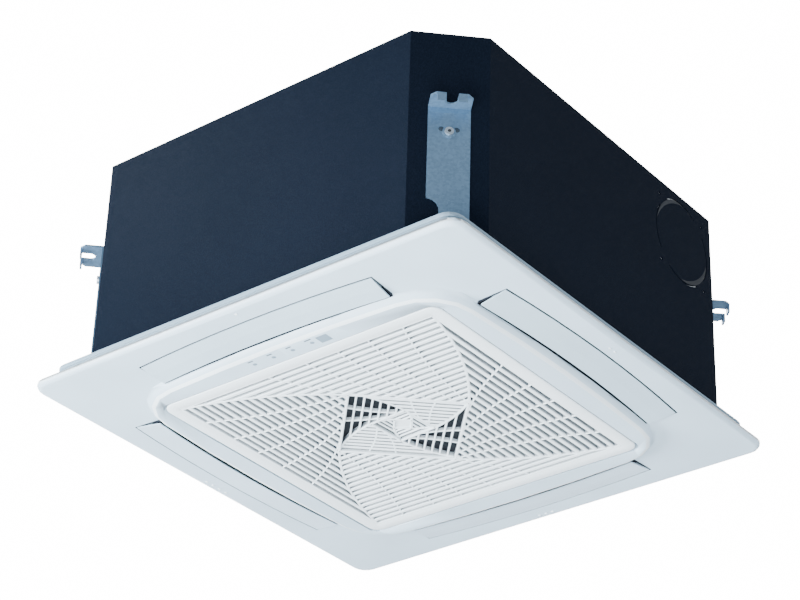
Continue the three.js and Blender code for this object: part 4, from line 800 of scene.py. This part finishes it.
def make_duct_linings_and_shade():
    """A thin dark foam sleeve inside each air outlet: a lining, and also painted shade that darkens the gaps
    round the louvres.
    """
    mesh = Mesh()
    for k in range(4):
        rings = []
        for inset, ends in ((LINING_FRONT, (False, True)), (LINING_BACK, (True, False))):
            outline = outlet_outline(inset)
            for top in ends:
                rings.append([(*spin(p, k * QUARTER), LINING_TOP if top else lining_low(p)) for p in outline])
        mesh.loft(rings, closed=True)
    mesh.add("duct_linings_and_shade", "duct", "casing", "foam_black")


FLANGE_UNDER, PLATEAU_UNDER = -8.0, box_mm("panel_frame")[0][2]
PAD_STEPS = 3                           # at each corner
PAD_STRAIGHT, PAD_SHRINK = 0.6, 0.86    # the upright sides' share of the rise, and the size of the far end
PIP_LENGTH, PIP_WIDTH, PIP_RISE = 3.4, 2.2, 0.7
PIP_OUT, PIP_RIGHT_OUT = 299, 293       # the rows from the middle, and the right-hand row's own
PIPS_FRONT, PIPS_RIGHT, PIPS_REAR, PIPS_LEFT = (0,), (0, 10), (-14, -4, 6), (-14, -2, 10, 22)   # along a row
LAMPS = (-43, -15, 13, 41)
LAMP_Y = sum(corner[1] for corner in box_mm("led_light_guide")) / 2
LENS_SIZE, LENS_RISE, LENS_SOFT = (5.6, 4.2), 0.1, 0.9
DASH_ASIDE, DASH_FRONT, DASH_RISE, DASH_SOFT = -1, -7.2, 0.07, 0.2
DASH_LENGTH, LAST_DASH_LENGTH, DASH_WIDTH = 7.5, 9.5, 2.0


def pad(mesh, centre, size, z, rise, soft=0.35):
    """A small bar that stands down from a face at height z. soft is the share of its width that its corners
    round off."""
    half_x, half_y = size[0] / 2, size[1] / 2
    radius = min(half_x, half_y) * soft
    x, y = half_x - radius, half_y - radius
    outline = []
    for first, (cx, cy) in enumerate(((x, y), (-x, y), (-x, -y), (x, -y))):
        for i in range(PAD_STEPS + 1):
            a = (first + i / PAD_STEPS) * QUARTER
            outline.append((cx + radius * math.cos(a), cy + radius * math.sin(a)))
    rings = []
    for grow, down in ((1.0, 0.0), (1.0, rise * PAD_STRAIGHT), (PAD_SHRINK, rise)):
        rings.append([(centre[0] + px * grow, centre[1] + py * grow, z - down) for px, py in outline])
    mesh.loft(rings)


def make_outlet_pips():
    """Plain pips by the flange's edge: one to four of them tell the four air outlets apart."""
    across, along = (PIP_LENGTH, PIP_WIDTH), (PIP_WIDTH, PIP_LENGTH)
    mesh = Mesh()
    for x in PIPS_FRONT:
        pad(mesh, (x, -PIP_OUT), across, FLANGE_UNDER, PIP_RISE)
    for y in PIPS_RIGHT:
        pad(mesh, (PIP_RIGHT_OUT, y), along, FLANGE_UNDER, PIP_RISE)
    for x in PIPS_REAR:
        pad(mesh, (x, PIP_OUT), across, FLANGE_UNDER, PIP_RISE)
    for y in PIPS_LEFT:
        pad(mesh, (-PIP_OUT, y), along, FLANGE_UNDER, PIP_RISE)
    mesh.add("outlet_pips", "slat", "casing", "panel_white")


def make_lamp_details():
    """A lens over each indicator lamp, and a plain dash in front of it."""
    face = PLATEAU_UNDER + SEAT
    dashes, lenses = Mesh(), Mesh()
    for x in LAMPS:
        length = LAST_DASH_LENGTH if x == LAMPS[-1] else DASH_LENGTH
        pad(dashes, (x + DASH_ASIDE, LAMP_Y + DASH_FRONT), (length, DASH_WIDTH), face, DASH_RISE, DASH_SOFT)
        pad(lenses, (x, LAMP_Y), LENS_SIZE, face, LENS_RISE, LENS_SOFT)
    dashes.add("lamp_dashes", "mark", "casing", "panel_white")
    lenses.add("lamp_lenses", "lens", "casing", "lens_grey")


# ---------------------------------------------------------------- lights, floor and surroundings
# Each light's place, what it is aimed at, the length of its sides, its power in watts and its colour.
LIGHTS = {
    "key": ((-1.5, -1.9, -0.9), (-0.25, -0.3, 0.1), 0.8, 200, (0.9, 0.96, 1.0)),
    "under": ((0.5, -1.35, -1.35), (0.1, -0.1, 0), 1.6, 80, (0.92, 0.97, 1.0)),
    "corner": ((-0.95, -0.8, 0.95), (-0.27, -0.29, 0.26), 0.35, 9, (0.8, 0.92, 1.0)),
    "side": ((2.6, 0.8, 0.4), (0.3, 0, 0.1), 1.2, 20, (0.9, 0.96, 1.0)),
}
FLOOR_HALF, FLOOR_Z = 1.6, -2.6
BACKDROP_FULL, BACKDROP_EDGE = math.radians(17), math.radians(38)       # from the backdrop's middle
BACKDROP_COLOR, ROOM_COLOR, ROOM_STRENGTH = (1.0, 1.0, 1.0), (0.035, 0.038, 0.042), 16.0


def make_light(name, place, target, side, power, color):
    data = bpy.data.lights.new(name, "AREA")
    data.shape = "RECTANGLE"
    data.size, data.size_y = side, side
    data.energy = power
    data.color = color
    light = new_object(name, data)
    light.location = place
    light.rotation_euler = (Vector(place) - Vector(target)).to_track_quat("Z", "Y").to_euler()


def make_floor():
    """A plain pale floor."""
    corners = [(x * FLOOR_HALF, y * FLOOR_HALF, FLOOR_Z) for x, y in ((-1, -1), (1, -1), (1, 1), (-1, 1))]
    data = bpy.data.meshes.new("floor")
    data.from_pydata(corners, [], [(0, 1, 2, 3)])
    floor = new_object("floor", data)
    pale = moulded("floor_pale", (0.7, 0.72, 0.74), roughness=0.7, grain=40, depth=0.02, drift=0.01)
    data.materials.append(pale)


def make_world():
    """A dim room with one wide white backdrop, which stands behind the part in the photograph's view."""
    world = bpy.data.worlds.new("studio")
    bpy.context.scene.world = world
    world.use_nodes = True
    tree = world.node_tree
    sky = tree.nodes["Background"]
    towards = tree.nodes.new("ShaderNodeVectorMath")
    towards.operation = "DOT_PRODUCT"
    towards.inputs[1].default_value = -view_axes()[2]
    tree.links.new(tree.nodes.new("ShaderNodeTexCoord").outputs["Generated"], towards.inputs[0])
    cone = (math.cos(BACKDROP_EDGE), math.cos(BACKDROP_FULL))
    backdrop = span(tree, towards.outputs["Value"], low=0, high=1, source=cone)
    tree.links.new(ramp(tree, backdrop, [(0.0, ROOM_COLOR), (1.0, BACKDROP_COLOR)]), sky.inputs["Color"])
    sky.inputs["Strength"].default_value = ROOM_STRENGTH


make_camera()
dress_nodes()
make_swirl()
make_border()
make_crescents()
make_bracket_details()
make_panel_cover()
softened("bell_mouth_smooth", "bell_mouth", ("dark",), "casing", MOUTH_SMOOTH)
softened("gas_pipe_smooth", "gas_pipe", ("copper",), "casing", PIPE_SMOOTH)
softened("liquid_pipe_smooth", "liquid_pipe", ("copper",), "casing", PIPE_SMOOTH)
softened("drain_port_smooth", "drain_port", ("dark",), "casing", PIPE_SMOOTH)
make_duct_linings_and_shade()
make_outlet_pips()
make_lamp_details()
make_floor()
make_world()
for light_name, light_settings in LIGHTS.items():
    make_light(light_name, *light_settings)
